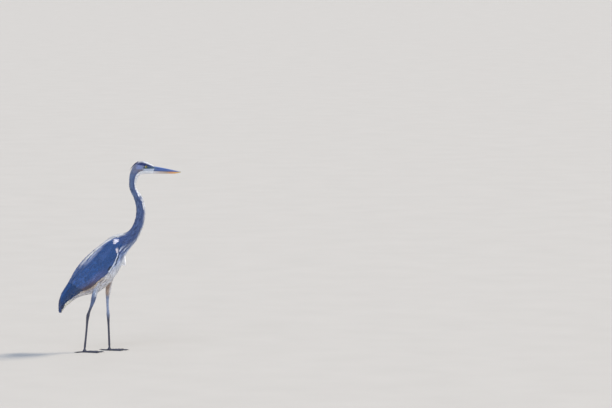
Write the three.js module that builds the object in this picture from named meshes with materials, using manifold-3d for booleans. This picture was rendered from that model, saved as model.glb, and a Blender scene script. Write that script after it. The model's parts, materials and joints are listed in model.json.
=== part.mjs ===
// Great blue heron, standing still, at life size.
// Millimetres, +Z up. The bird faces +X and its right side faces -Y. The origin is on the floor,
// in the middle of the space that the bird takes up.
import * as THREE from 'three';
import { mergeVertices } from 'three/addons/utils/BufferGeometryUtils.js';
import Module from 'manifold-3d';

const wasm = await Module();
wasm.setup();

// ---- Driving dimensions ----

const GAP = 0.3; // clearance between pieces that touch
const BODY_SIDES = 22; // facets round the head, neck and trunk
const BACK_BREADTH = 0.1; // how much broader the back is than the belly

const BILL_LENGTH = 137; // from the face to the tip
const BILL_SIDES = 12;
const CULMEN_DROP = 31.5; // fall of the top edge towards the tip
const GONYS_RISE = 7.5; // rise of the lower edge towards the tip
const GONYS_START = 0.7; // share of the bill where that rise begins
const MOUTH_SLOPE = -0.05; // fall of the mouth line, forwards
const BILL_TIP = 0.8; // least half width and half depth, at the tip

const EYE_RADIUS = 7.5;
const EYE_CENTRE = { x: 136, y: 16.6, z: 945 };

const WING_THICKNESS = 9; // plumage of the folded wing over the flank
const WING_EDGE_THICKNESS = 2;
const WING_DEPTH = 5; // how far the folded wing is carried into the flank before it is cut away
const PRIMARIES_STATION = 20.2; // where the flight feathers come out from under the coverts

// The crest's plumes, from the crown's back to behind the nape.
const CREST_STATION = 2.3;
const CREST_LENGTH = 2.1; // in stations of the body
const CREST_RADIUS = { root: 2.4, tip: 0.9 };
const CREST_HEIGHT = { root: 1.2, tip: 7.2 }; // of its middle over the crown
const CREST_BREADTH = 2.2; // its width as a share of its depth

// The breast plumes' line as [x, z], downwards, and the radius there.
const PLUME_LINE = [[30, 522], [17, 487], [18, 464], [31, 443]];
const PLUME_RADII = [8, 10, 9, 0.8];
const PLUME_BREADTH = 1.3;

const STANCE = 38; // each leg's distance from the midline
const HIP = 27; // the same at its top, inside the trunk
const TARSUS_WIDTH = 0.85; // a leg's width as a share of its depth
const FOOT_HEIGHT = 16.6; // top of the foot, under the tarsus
const PALM_RADIUS = 9.5;
const STUB_LENGTH = 21; // where a toe parts from the foot
const TOE_CURVE = 0.12; // share of its heading that a toe loses towards its claw
const TOE_TAPER = 0.4;
const TOE_KNUCKLE = 0.1; // how much thicker a toe is at its joints
const SOLE_SHARE = 0.8; // height of a toe's axis as a share of its radius: the rest is a flat sole
const CLAW = { radius: 2.2, taper: 0.85, height: 3.1, arch: 1.6, fall: 2.4, breadth: 0.75 };

// The body from face to tail, as sections across it. Each has its point on the back, its point
// on the belly side, both as [x, z] in the plane of symmetry, and its half width.
const SECTIONS = [
  { dorsal: [177, 948], ventral: [177, 909], half: 11 }, // face, behind the bill
  { dorsal: [134, 971], ventral: [131, 907], half: 21 }, // eye
  { dorsal: [106, 972], ventral: [114, 906], half: 23 }, // crown
  { dorsal: [79, 958], ventral: [103, 900], half: 21 }, // back of the head
  { dorsal: [62, 932], ventral: [96, 891], half: 19 }, // nape
  { dorsal: [52, 902], ventral: [90, 877], half: 17.5 }, // throat
  { dorsal: [49, 864], ventral: [85, 854], half: 16.5 },
  { dorsal: [52, 828], ventral: [88, 833], half: 16.5 }, // narrowest part of the neck
  { dorsal: [70, 791], ventral: [113, 799], half: 18 }, // kink of the neck
  { dorsal: [84, 742], ventral: [132, 742], half: 20 },
  { dorsal: [82, 688], ventral: [131, 680], half: 22 },
  { dorsal: [60, 632], ventral: [111, 612], half: 27 }, // foot of the neck
  { dorsal: [33, 609], ventral: [89, 571], half: 34 },
  { dorsal: [-1, 603], ventral: [60, 536], half: 46 }, // shoulders
  { dorsal: [-45, 587], ventral: [27, 487], half: 55 }, // breast
  { dorsal: [-95, 549], ventral: [2, 426], half: 61 },
  { dorsal: [-143, 511], ventral: [-26, 378], half: 63 }, // deepest part of the trunk
  { dorsal: [-190, 466], ventral: [-66, 334], half: 61 },
  { dorsal: [-228, 417], ventral: [-119, 298], half: 55 }, // belly, behind the legs
  { dorsal: [-254, 366], ventral: [-172, 290], half: 45 }, // vent
  { dorsal: [-280, 324], ventral: [-215, 276], half: 33 }, // rump
  { dorsal: [-301, 288], ventral: [-254, 249], half: 27 }, // root of the tail
  { dorsal: [-311, 253], ventral: [-281, 225], half: 24 },
  { dorsal: [-312, 214], ventral: [-297, 200], half: 19 }, // end of the tail
];

// Pieces of the body, each from one station of SECTIONS to another, in whole steps.
const STATION_STEP = 0.5;
const BODY_PIECES = {
  head: { from: 0, to: 3.5, colour: 0x39465f },
  neck_upper: { from: 3.5, to: 7.5, colour: 0x8a8fa6 },
  neck_middle: { from: 7.5, to: 10, colour: 0x7f86a0 },
  neck_lower: { from: 10, to: 12.5, colour: 0x7c84a0 },
  trunk: { from: 12.5, to: 20.5, colour: 0xb9b6b2 },
  tail: { from: 20.5, to: 23, colour: 0x4b5873 },
};

// The folded wing's two edges, as shares of the way round each section from the back (0) to the
// belly (1).
const WING_EDGES = [
  { station: 13.35, upper: 0.3, lower: 0.36 }, // bend of the wing
  { station: 13.7, upper: 0.13, lower: 0.52 },
  { station: 15, upper: 0.03, lower: 0.69 },
  { station: 17, upper: 0.03, lower: 0.74 },
  { station: 20, upper: 0.03, lower: 0.75 },
  { station: 21.3, upper: 0.08, lower: 0.66 },
  { station: 22.6, upper: 0.42, lower: 0.48 }, // wing tip
];

// Each leg's line as [x, z], from the hip inside the trunk to the top of the foot, and the
// radius there.
const LEG_RADII = [27, 15.5, 9, 6.2, 6, 5, 5.6];
const ANKLE_STATION = 4;
const ANKLE_BULGE = 2.6;
const ANKLE_SPREAD = 0.28; // half the ankle's length, in stations
const LEG_GAP = 0.006; // a gap's length, in stations
const FEATHER_EDGE_STATION = 2;
const LEGS = {
  right: {
    side: -1,
    line: [[-90, 408], [-121, 325], [-139, 254], [-151, 221], [-162, 189], [-171, 102], [-180, 18]],
  },
  left: {
    side: 1,
    line: [[-50, 418], [-57, 330], [-62, 284], [-63, 240], [-60, 184], [-57, 102], [-54, 18]],
  },
};

// Toes by name: the length to the root of the claw, the way each points (in degrees, outwards
// from straight ahead), its radius at the foot, its number of joints and its claw.
const TOES = {
  inner: { length: 64, heading: -27, radius: 4.8, joints: 2, claw: 12 },
  middle: { length: 88, heading: 3, radius: 5.2, joints: 3, claw: 13 },
  outer: { length: 76, heading: 33, radius: 4.8, joints: 4, claw: 11 },
  hind: { length: 44, heading: 172, radius: 4.6, joints: 1, claw: 17 },
};

// ---- Solids ----

const SIDE = new THREE.Vector3(0, 1, 0);
const UP = new THREE.Vector3(0, 0, 1);

// A ball about a centre. Its poles are at its top and bottom if it is upright, else to its sides.
function ball(radius, centre, upright, around, down) {
  const geometry = new THREE.SphereGeometry(radius, around, down);
  if (upright) geometry.rotateX(Math.PI / 2);
  geometry.translate(centre.x, centre.y, centre.z);
  ['normal', 'uv'].forEach((name) => geometry.deleteAttribute(name));
  const merged = mergeVertices(geometry, 1e-3);
  return new wasm.Manifold(new wasm.Mesh({
    numProp: 3,
    vertProperties: merged.attributes.position.array,
    triVerts: new Uint32Array(merged.index.array),
  }));
}

// A closed solid from points and triangles, turned to face outwards.
function solid(points, triangles) {
  const build = (faces) => new wasm.Manifold(new wasm.Mesh({
    numProp: 3,
    vertProperties: new Float32Array(points.flatMap((p) => [p.x, p.y, p.z])),
    triVerts: new Uint32Array(faces.flat()),
  }));
  const made = build(triangles);
  return made.volume() < 0 ? build(triangles.map(([a, b, c]) => [a, c, b])) : made;
}

// A solid skinned over rings that all have the same number of points.
function loft(rings) {
  const sides = rings[0].length;
  const points = rings.flat();
  const triangles = [];
  for (let ring = 1; ring < rings.length; ring++) {
    for (let i = 0; i < sides; i++) {
      const next = (i + 1) % sides;
      const [a, b] = [(ring - 1) * sides + i, (ring - 1) * sides + next];
      const [c, d] = [ring * sides + i, ring * sides + next];
      triangles.push([a, b, c], [b, d, c]);
    }
  }
  const close = (ring, flip) => {
    const first = ring * sides;
    const middle = rings[ring].reduce((sum, p) => sum.add(p), new THREE.Vector3());
    points.push(middle.divideScalar(sides));
    for (let i = 0; i < sides; i++) {
      const [a, b] = [first + i, first + ((i + 1) % sides)];
      triangles.push(flip ? [points.length - 1, b, a] : [points.length - 1, a, b]);
    }
  };
  close(0, true);
  close(rings.length - 1, false);
  return solid(points, triangles);
}

// Values evenly spaced from a to b, both included.
function steps(a, b, count) {
  return Array.from({ length: count + 1 }, (_, i) => a + ((b - a) * i) / count);
}

// Angles round a full turn, without the last, which is the first again.
function turn(count) {
  return steps(0, 2 * Math.PI, count).slice(0, -1);
}

// A smooth line through points, read by their number: at(2.5) is halfway from point 2 to 3.
function throughPoints(points) {
  const curve = new THREE.CatmullRomCurve3(points);
  const share = (station) => THREE.MathUtils.clamp(station / (points.length - 1), 0, 1);
  return (station) => curve.getPoint(share(station));
}

// The same for plain numbers.
function throughNumbers(numbers) {
  const line = throughPoints(numbers.map((n, i) => new THREE.Vector3(i, n, 0)));
  return (station) => line(station).y;
}

// A round sectioned limb along a line: centre(t) and radius(t) for t in stations. The section
// is squeezed sideways to `breadth` of its depth.
function limb(stations, centre, radius, sides, breadth = 1) {
  return loft(stations.map((t) => {
    const along = centre(t + 0.01).sub(centre(t - 0.01)).normalize();
    const across = SIDE.clone().addScaledVector(along, -along.dot(SIDE)).normalize();
    const fore = along.clone().cross(across);
    return turn(sides).map((angle) => centre(t)
      .addScaledVector(fore, radius(t) * Math.cos(angle))
      .addScaledVector(across, radius(t) * breadth * Math.sin(angle)));
  }));
}

// ---- Head, neck, trunk and tail ----

const dorsalLine = throughPoints(SECTIONS.map(({ dorsal: [x, z] }) => new THREE.Vector3(x, 0, z)));
const ventralLine = throughPoints(SECTIONS.map(({ ventral: [x, z] }) => new THREE.Vector3(x, 0, z)));
const halfWidth = throughNumbers(SECTIONS.map(({ half }) => half));

// A point of the body's surface, moved out by `grow`. The angle is 0 on the back.
function bodyPoint(station, angle, grow = 0) {
  const middle = dorsalLine(station).add(ventralLine(station)).multiplyScalar(0.5);
  const up = dorsalLine(station).sub(middle);
  const depth = (up.length() + grow) * Math.cos(angle);
  const breadth = 1 + BACK_BREADTH * Math.cos(angle);
  const width = (halfWidth(station) + grow) * breadth * Math.sin(angle);
  return middle.addScaledVector(up.normalize(), depth).addScaledVector(SIDE, width);
}

// The body between two stations, as one solid. It starts `late` by part of a step.
function bodyLength(from, to, grow = 0, late = 0) {
  const stations = steps(from, to, (to - from) / STATION_STEP);
  stations[0] += late;
  return loft(stations.map((station) =>
    turn(BODY_SIDES).map((angle) => bodyPoint(station, angle, grow))));
}

// How far past this station a section is clear of it by the gap, all the way round.
function lateness(station) {
  let late = 0;
  const near = (line) => line(station).distanceTo(line(station + late)) < GAP;
  while (near(dorsalLine) || near(ventralLine)) late += 0.002;
  return late;
}

const trunkBlank = bodyLength(12, 23, GAP);
const headBlank = bodyLength(0, 8, GAP);

// ---- Wings ----

const wingUpper = throughNumbers(WING_EDGES.map(({ upper }) => upper));
const wingLower = throughNumbers(WING_EDGES.map(({ lower }) => lower));
const wingStation = throughNumbers(WING_EDGES.map(({ station }) => station));

// The folded wing and what it covers of the flank. `grow` makes it thicker, to cut other pieces.
function wingBlanket(side, grow = 0) {
  const ring = (t) => {
    const around = (share) => side * Math.acos(1 - 2 * share);
    const at = (v) => around(THREE.MathUtils.lerp(wingUpper(t), wingLower(t), v));
    const fullness = Math.min(1, 0.45 + t, 0.35 + (WING_EDGES.length - 1 - t) * 0.5);
    const thickness = (v) => WING_EDGE_THICKNESS + grow
      + WING_THICKNESS * fullness * Math.sqrt(Math.sin(Math.PI * v));
    const outer = steps(0, 1, 8).map((v) => bodyPoint(wingStation(t), at(v), thickness(v)));
    const inner = steps(1, 0, 4).map((v) => bodyPoint(wingStation(t), at(v), -WING_DEPTH));
    return [...outer, ...inner];
  };
  return loft(steps(0, WING_EDGES.length - 1, 18).map(ring));
}

// Cuts the wing across at the root of the primaries.
function wingPieces(side) {
  const whole = wingBlanket(side).subtract(trunkBlank);
  const at = bodyPoint(PRIMARIES_STATION, side * Math.PI / 2);
  const along = bodyPoint(PRIMARIES_STATION + 1, side * Math.PI / 2).sub(at).normalize();
  const offset = along.dot(at);
  const back = along.clone().negate();
  return {
    wing: whole.trimByPlane(back.toArray(), -(offset - GAP / 2)),
    primaries: whole.trimByPlane(along.toArray(), offset + GAP / 2),
  };
}

// ---- Bill, eyes and plumes ----

function billPieces() {
  const face = bodyPoint(0, Math.PI / 2);
  const top = SECTIONS[0].dorsal[1];
  const bottom = SECTIONS[0].ventral[1];
  const whole = loft(steps(0, 1, 8).map((t) => {
    const rise = GONYS_RISE * Math.max(0, (t - GONYS_START) / (1 - GONYS_START)) ** 1.5;
    const upper = top - CULMEN_DROP * t;
    const lower = bottom + rise;
    const depth = Math.max(BILL_TIP, (upper - lower) / 2);
    const width = BILL_TIP + (SECTIONS[0].half - 2 * BILL_TIP) * (1 - t) ** 0.85;
    const x = face.x + GAP + BILL_LENGTH * t;
    return turn(BILL_SIDES).map((angle) => new THREE.Vector3(
      x, width * Math.sin(angle), (upper + lower) / 2 + depth * Math.cos(angle)));
  }));
  const normal = new THREE.Vector3(-MOUTH_SLOPE, 0, 1).normalize();
  const tip = new THREE.Vector3(face.x + BILL_LENGTH, 0, bottom + GONYS_RISE);
  const offset = normal.dot(tip);
  return {
    upper: whole.trimByPlane(normal.toArray(), offset + GAP / 2),
    lower: whole.trimByPlane(normal.clone().negate().toArray(), -(offset - GAP / 2)),
  };
}

function eyeball(side, radius) {
  return ball(radius, { ...EYE_CENTRE, y: side * EYE_CENTRE.y }, false, 14, 9);
}

// The dark plumes that lie back from the crown and stand a little off the nape.
function crest() {
  const { lerp } = THREE.MathUtils;
  const height = (t) => lerp(CREST_HEIGHT.root, CREST_HEIGHT.tip, t ** 3);
  const centre = (t) => bodyPoint(CREST_STATION + CREST_LENGTH * t, 0, height(t));
  const radius = (t) => lerp(CREST_RADIUS.root, CREST_RADIUS.tip, t);
  return limb(steps(0, 1, 8), centre, radius, 8, CREST_BREADTH).subtract(headBlank);
}

// The pointed plumes that hang from the foot of the foreneck.
function breastPlumes() {
  const line = throughPoints(PLUME_LINE.map(([x, z]) => new THREE.Vector3(x, 0, z)));
  const radius = throughNumbers(PLUME_RADII);
  const stations = steps(0, PLUME_LINE.length - 1, 9);
  return limb(stations, line, radius, 10, PLUME_BREADTH).subtract(trunkBlank);
}

// ---- Legs and feet ----

function legLine({ side, line }) {
  return throughPoints(line.map(([x, z], i) => new THREE.Vector3(x, side * (i ? STANCE : HIP), z)));
}

function legRadius(t) {
  const bulge = ANKLE_BULGE * Math.exp(-(((t - ANKLE_STATION) / ANKLE_SPREAD) ** 2));
  return throughNumbers(LEG_RADII)(t) + bulge;
}

function legPieces(leg) {
  const centre = legLine(leg);
  const last = LEG_RADII.length - 1;
  const length = (from, to, count, sides) =>
    limb(steps(from, to, count), centre, legRadius, sides, TARSUS_WIDTH);
  return {
    thigh: length(0, FEATHER_EDGE_STATION, 7, 14)
      .subtract(trunkBlank)
      .subtract(wingBlanket(leg.side, GAP)),
    shank: length(FEATHER_EDGE_STATION + LEG_GAP, ANKLE_STATION, 8, 10),
    tarsus: length(ANKLE_STATION + LEG_GAP, last, 7, 10),
  };
}

// A toe from one length along it to another, with its sole cut flat on the floor.
function toeLength(foot, side, toe, from, to, count) {
  const turned = (s) => toe.heading * (1 - TOE_CURVE * (s / toe.length));
  const heading = (s) => THREE.MathUtils.degToRad(turned(s)) * side;
  const radius = (s) => {
    const joints = 1 + TOE_KNUCKLE * Math.cos((2 * Math.PI * toe.joints * s) / toe.length);
    return toe.radius * (1 - TOE_TAPER * (s / toe.length)) * joints;
  };
  const centre = (s) => new THREE.Vector3(
    foot.x + s * Math.cos(heading(s)), foot.y + s * Math.sin(heading(s)), radius(s) * SOLE_SHARE);
  const rings = steps(from, to, count).map((s) => {
    const out = new THREE.Vector3(-Math.sin(heading(s)), Math.cos(heading(s)), 0);
    return turn(8).map((angle) => centre(s)
      .addScaledVector(UP, radius(s) * Math.cos(angle))
      .addScaledVector(out, radius(s) * Math.sin(angle)));
  });
  return { solid: loft(rings).trimByPlane(UP.toArray(), 0), tip: centre(to), heading: heading(to) };
}

function claw(tip, heading, length) {
  const ahead = new THREE.Vector3(Math.cos(heading), Math.sin(heading), 0);
  const out = new THREE.Vector3(-Math.sin(heading), Math.cos(heading), 0);
  const rings = steps(0, 1, 4).map((t) => {
    const radius = CLAW.radius * (1 - CLAW.taper * t);
    const height = CLAW.height + CLAW.arch * Math.sin(Math.PI * t * 0.8) - CLAW.fall * t;
    const middle = new THREE.Vector3(tip.x, tip.y, height).addScaledVector(ahead, GAP + length * t);
    return turn(6).map((angle) => middle.clone()
      .addScaledVector(UP, radius * Math.cos(angle))
      .addScaledVector(out, CLAW.breadth * radius * Math.sin(angle)));
  });
  return loft(rings);
}

function footPieces(leg) {
  const end = legLine(leg)(LEG_RADII.length - 1);
  const foot = new THREE.Vector3(end.x, end.y, 0);
  let palm = ball(PALM_RADIUS, { ...foot, z: FOOT_HEIGHT / 2 }, true, 12, 8);
  const pieces = {};
  for (const [name, toe] of Object.entries(TOES)) {
    palm = palm.add(toeLength(foot, leg.side, toe, 0, STUB_LENGTH, 2).solid);
    const free = toeLength(foot, leg.side, toe, STUB_LENGTH + GAP, toe.length, 2 + toe.joints);
    pieces[`toe_${name}`] = free.solid;
    pieces[`claw_${name}`] = claw(free.tip, free.heading, toe.claw);
  }
  pieces.foot = palm
    .trimByPlane(UP.toArray(), 0)
    .trimByPlane(UP.clone().negate().toArray(), -FOOT_HEIGHT);
  return pieces;
}

// ---- The bird ----

function material(color, roughness) {
  return new THREE.MeshStandardMaterial({ color, roughness, metalness: 0 });
}

const PLUMAGE = 0.85;
const FINISH = {
  bill_upper: material(0x3d4152, 0.4),
  bill_lower: material(0xd9a55a, 0.4),
  eye: material(0xe6c64a, 0.1),
  crest: material(0x20263a, PLUMAGE),
  plumes: material(0xdedbe0, PLUMAGE),
  wing: material(0x51618a, PLUMAGE),
  primaries: material(0x2c3650, PLUMAGE),
  thigh: material(0xc8b3a0, PLUMAGE),
  shank: material(0x8d93a8, 0.6),
  tarsus: material(0x3a3a40, 0.6),
  foot: material(0x35342f, 0.65),
  claw: material(0x1c1b1a, 0.35),
};

const heron = new THREE.Group();

function place(name, shape, finish) {
  const mesh = shape.getMesh();
  const geometry = new THREE.BufferGeometry();
  geometry.setAttribute('position', new THREE.BufferAttribute(mesh.vertProperties, 3));
  geometry.setIndex(new THREE.BufferAttribute(mesh.triVerts, 1));
  geometry.computeVertexNormals();
  const node = new THREE.Mesh(geometry, finish);
  node.name = name;
  heron.add(node);
}

for (const [name, { from, to, colour }] of Object.entries(BODY_PIECES)) {
  let shape = bodyLength(from, to, 0, from === 0 ? 0 : lateness(from));
  if (name === 'head') {
    shape = shape.subtract(eyeball(1, EYE_RADIUS + GAP)).subtract(eyeball(-1, EYE_RADIUS + GAP));
  }
  place(name, shape, material(colour, PLUMAGE));
}

const bill = billPieces();
place('bill_upper', bill.upper, FINISH.bill_upper);
place('bill_lower', bill.lower, FINISH.bill_lower);
place('crest', crest(), FINISH.crest);
place('breast_plumes', breastPlumes(), FINISH.plumes);

for (const [which, leg] of Object.entries(LEGS)) {
  place(`eye_${which}`, eyeball(leg.side, EYE_RADIUS), FINISH.eye);

  const { wing, primaries } = wingPieces(leg.side);
  place(`wing_${which}`, wing, FINISH.wing);
  place(`primaries_${which}`, primaries, FINISH.primaries);

  const { thigh, shank, tarsus } = legPieces(leg);
  place(`thigh_${which}`, thigh, FINISH.thigh);
  place(`shank_${which}`, shank, FINISH.shank);
  place(`tarsus_${which}`, tarsus, FINISH.tarsus);

  for (const [piece, shape] of Object.entries(footPieces(leg))) {
    const finish = piece.startsWith('claw') ? FINISH.claw : FINISH.foot;
    place(`${piece}_${which}`, shape, finish);
  }
}

// The pieces are moved together so that the origin is in the middle of the footprint.
const bounds = new THREE.Box3().setFromObject(heron);
const middle = bounds.getCenter(new THREE.Vector3());
heron.children.forEach((node) => node.position.set(-middle.x, -middle.y, -bounds.min.z));

export default heron;
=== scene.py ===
"""Great blue heron, standing: the looks of a life-size model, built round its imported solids.

One skin stands for all the flesh. Feathers of solid mesh lie on it in tracts, each following the
lie of the plumage from bill to tail. Bill, eyes and claws are pieces of their own. Lengths are
in metres, in the frame of the solids: the bird faces +X and +Z is up.
"""

from __future__ import annotations

import json
import logging
import math
from dataclasses import dataclass, field
from enum import Enum
from typing import Any, Callable, Sequence, TypeAlias

import bmesh
import bpy
import numpy as np
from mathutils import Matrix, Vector
from mathutils.bvhtree import BVHTree

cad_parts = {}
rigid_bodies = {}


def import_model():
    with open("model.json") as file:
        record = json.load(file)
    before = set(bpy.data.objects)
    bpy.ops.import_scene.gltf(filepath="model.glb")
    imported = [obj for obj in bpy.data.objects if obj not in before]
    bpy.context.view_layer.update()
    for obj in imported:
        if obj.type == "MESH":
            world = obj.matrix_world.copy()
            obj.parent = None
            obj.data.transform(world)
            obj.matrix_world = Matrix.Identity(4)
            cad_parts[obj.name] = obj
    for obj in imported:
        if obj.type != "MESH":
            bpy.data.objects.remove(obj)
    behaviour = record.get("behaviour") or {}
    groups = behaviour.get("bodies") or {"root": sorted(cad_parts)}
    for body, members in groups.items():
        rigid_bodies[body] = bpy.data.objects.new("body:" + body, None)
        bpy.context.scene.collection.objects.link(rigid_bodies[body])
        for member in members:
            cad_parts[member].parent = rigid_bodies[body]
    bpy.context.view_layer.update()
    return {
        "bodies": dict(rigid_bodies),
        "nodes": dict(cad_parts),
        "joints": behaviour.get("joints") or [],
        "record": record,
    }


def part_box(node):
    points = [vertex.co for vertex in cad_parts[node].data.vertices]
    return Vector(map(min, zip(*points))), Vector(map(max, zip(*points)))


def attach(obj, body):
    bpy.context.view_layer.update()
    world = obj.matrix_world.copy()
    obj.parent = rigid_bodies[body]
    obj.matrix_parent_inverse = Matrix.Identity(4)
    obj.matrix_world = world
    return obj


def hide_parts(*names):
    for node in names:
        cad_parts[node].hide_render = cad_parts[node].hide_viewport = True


Array: TypeAlias = np.ndarray
Keep: TypeAlias = Callable[[Array, Array, Array], Array]
"""Tells from the distances, angles and places of some roots which to keep."""

LOG = logging.getLogger("heron")
MM = 0.001
SEED = 4861
SIDES = {"right": -1.0, "left": 1.0}
TOES = ("inner", "middle", "outer", "hind")
TURN = 2 * math.pi
LEFTWARD = np.array([0.0, 1.0, 0.0])
"""The way across the bird, to its left."""
UPWARD = np.array([0.0, 0.0, 1.0])

NECK_NODES = ("neck_upper", "neck_middle", "neck_lower")
TORSO_NODES = (
    "head",
    *NECK_NODES,
    "trunk",
    "tail",
    *(f"{part}_{side}" for side in SIDES for part in ("wing", "primaries")),
)
BODY_NODES = (*TORSO_NODES, *(f"thigh_{side}" for side in SIDES))
LEG_PARTS = ("shank", "tarsus", "foot", *(f"toe_{toe}" for toe in TOES))
LEG_NODES = tuple(f"{part}_{side}" for side in SIDES for part in LEG_PARTS)


# ---- Colour and pattern helpers ----


def linear(hex_colour: str) -> Array:
    """Turns an sRGB hex colour to linear light.

    Args:
        hex_colour: Six hex digits, with or without a leading #.

    Returns:
        Red, green and blue from 0 to 1.
    """
    digits = hex_colour.lstrip("#")
    srgb = np.array([int(digits[i : i + 2], 16) / 255 for i in (0, 2, 4)])
    return np.where(srgb <= 0.04045, srgb / 12.92, ((srgb + 0.055) / 1.055) ** 2.4)


def rgba(hex_colour: str) -> tuple[float, ...]:
    """Gives a hex colour as linear RGBA for a node's socket."""
    return (*linear(hex_colour), 1.0)


def ease(low: float, high: float, value: Array) -> Array:
    """Rises smoothly from 0 at low to 1 at high; low may be above high.

    Args:
        low: Where it is 0.
        high: Where it is 1.
        value: Any array.

    Returns:
        An array of the same shape.
    """
    share = np.clip((np.asarray(value) - low) / (high - low), 0, 1)
    return share * share * (3 - 2 * share)


def blend(base: Array, other: Array, share: Array) -> Array:
    """Mixes two sets of colours by a share for each row."""
    return base + (other - base) * np.asarray(share)[:, None]


def plain(colour: str, number: int) -> Array:
    """One hex colour, once for each of a number of places."""
    return np.tile(linear(colour), (number, 1))


def layered(base: Array, *layers: tuple[str, Array]) -> Array:
    """Lays colours over others, in turn.

    Args:
        base: The linear colours below.
        *layers: The hex colour of each layer, and its share at each place.

    Returns:
        The linear colours on top.
    """
    for colour, share in layers:
        base = blend(base, linear(colour), share)
    return base


def streaks(u: Array, across: Array, long: float, wide: float, seed: int) -> Array:
    """Makes soft streaks along the unrolled skin.

    Args:
        u: Distances along the middle line.
        across: Distances round it.
        long: The streaks' length in mm.
        wide: Their width in mm.
        seed: Which pattern.

    Returns:
        A value from 0 to 1 for each place.
    """
    return grain(np.stack([u, across, 0 * u], axis=1), np.array([long, wide, 1]) * MM, seed)


def grain(places: Array, size: float | Array, seed: int) -> Array:
    """Smooth random values with features of about the given size.

    Args:
        places: Points, one to a row.
        size: The size of a feature, or one size for each axis.
        seed: Picks the pattern.

    Returns:
        A value from 0 to 1 for each point.
    """
    cell = places / size
    low = np.floor(cell).astype(np.int64)
    part = cell - low
    part = part * part * (3 - 2 * part)
    total = np.zeros(len(places))
    for corner in range(8):
        offset = np.array([corner & 1, corner >> 1 & 1, corner >> 2 & 1])
        key = (low + offset) @ np.array([73856093, 19349663, 83492791]) + seed * 97531
        key = (key ^ (key >> 13)) * 1274126177
        value = ((key ^ (key >> 16)) & 0xFFFF) / 0xFFFF
        total += value * np.prod(np.where(offset, part, 1 - part), axis=1)
    return total


def unit(vectors: Array) -> Array:
    """Scales each vector to length 1."""
    return vectors / np.maximum(np.linalg.norm(vectors, axis=-1, keepdims=True), 1e-12)


def tangent(ways: Array, normals: Array) -> Array:
    """The direction in a surface that is nearest to each given way."""
    return unit(ways - normals * (ways * normals).sum(1)[:, None])


# ---- Node and mesh helpers ----


def add(tree: bpy.types.NodeTree, kind: str, inputs: dict | None = None, **settings: Any) -> bpy.types.Node:
    """Adds one shader node.

    Args:
        tree: The material's or the world's node tree.
        kind: The node's type, without its ShaderNode prefix.
        inputs: For a socket's name or number, its value or the output that feeds it.
        **settings: The node's own properties.

    Returns:
        The new node.
    """
    node = tree.nodes.new("ShaderNode" + kind)
    for key, value in settings.items():
        setattr(node, key, value)
    for key, value in (inputs or {}).items():
        if isinstance(value, bpy.types.NodeSocket):
            tree.links.new(value, node.inputs[key])
        else:
            node.inputs[key].default_value = value
    return node


def set_stops(ramp: bpy.types.Node, stops: Sequence[tuple[float, str]]) -> None:
    """Gives a colour ramp its stops.

    Args:
        ramp: The Color Ramp node.
        stops: A place from 0 to 1 and a hex colour for each.
    """
    elements = ramp.color_ramp.elements
    while len(elements) < len(stops):
        elements.new(0.5)
    for element, (place, colour) in zip(elements, stops):
        element.position = place
        element.color = rgba(colour)


def calc(
    tree: bpy.types.NodeTree, operation: str, *values: float | bpy.types.NodeSocket
) -> bpy.types.NodeSocket:
    """Adds one Math node and gives its result."""
    return add(tree, "Math", dict(enumerate(values)), operation=operation).outputs[0]


def scaled(
    tree: bpy.types.NodeTree, colour: bpy.types.NodeSocket, share: bpy.types.NodeSocket
) -> bpy.types.NodeSocket:
    """Makes a colour lighter or darker by a share."""
    return add(tree, "VectorMath", {0: colour, "Scale": share}, operation="SCALE").outputs[0]


def stored(tree: bpy.types.NodeTree, name: str) -> bpy.types.Node:
    """Reads the values painted on a piece under a name."""
    return add(tree, "Attribute", attribute_name=name)


def cloud(tree: bpy.types.NodeTree, scale: float, detail: float, **more: Any) -> bpy.types.NodeSocket:
    """Adds a noise.

    Args:
        tree: The material's node tree.
        scale: Features in a metre, about.
        detail: How many finer sizes are added.
        **more: Other sockets of the noise; without a Vector it is in the object's own space.

    Returns:
        Its value.
    """
    more.setdefault("Vector", add(tree, "TexCoord").outputs["Object"])
    return add(tree, "TexNoise", {"Scale": scale, "Detail": detail, **more}).outputs[0]


def blank_material(name: str) -> tuple[bpy.types.Material, bpy.types.NodeTree]:
    """Makes a material with an empty node tree.

    Args:
        name: The material's name.

    Returns:
        The material and its tree.
    """
    material = bpy.data.materials.new(name)
    material.use_nodes = True
    material.node_tree.nodes.clear()
    return material, material.node_tree


def close_surface(tree: bpy.types.NodeTree, inputs: dict) -> None:
    """Ends a material with a Principled shader.

    Args:
        tree: The material's node tree.
        inputs: The shader's sockets, as for add.
    """
    shader = add(tree, "BsdfPrincipled", inputs)
    output = tree.nodes.new("ShaderNodeOutputMaterial")
    tree.links.new(shader.outputs["BSDF"], output.inputs["Surface"])


def mesh_object(name: str, points: Array, faces: Array, smooth: bool = True) -> bpy.types.Object:
    """Makes an object from arrays.

    Args:
        name: The object's name.
        points: Its vertices, one to a row.
        faces: The vertex numbers of each face, all with as many corners.
        smooth: Shades the faces smooth.

    Returns:
        The object, linked to the scene.
    """
    corners = faces.shape[1]
    mesh = bpy.data.meshes.new(name)
    mesh.vertices.add(len(points))
    mesh.vertices.foreach_set("co", points.astype(np.float32).ravel())
    mesh.loops.add(faces.size)
    mesh.loops.foreach_set("vertex_index", faces.astype(np.int32).ravel())
    mesh.polygons.add(len(faces))
    mesh.polygons.foreach_set("loop_start", np.arange(0, faces.size, corners, dtype=np.int32))
    mesh.polygons.foreach_set("loop_total", np.full(len(faces), corners, dtype=np.int32))
    mesh.polygons.foreach_set("use_smooth", np.full(len(faces), smooth))
    mesh.update(calc_edges=True)
    piece = bpy.data.objects.new(name, mesh)
    bpy.context.scene.collection.objects.link(piece)
    return piece


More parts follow.
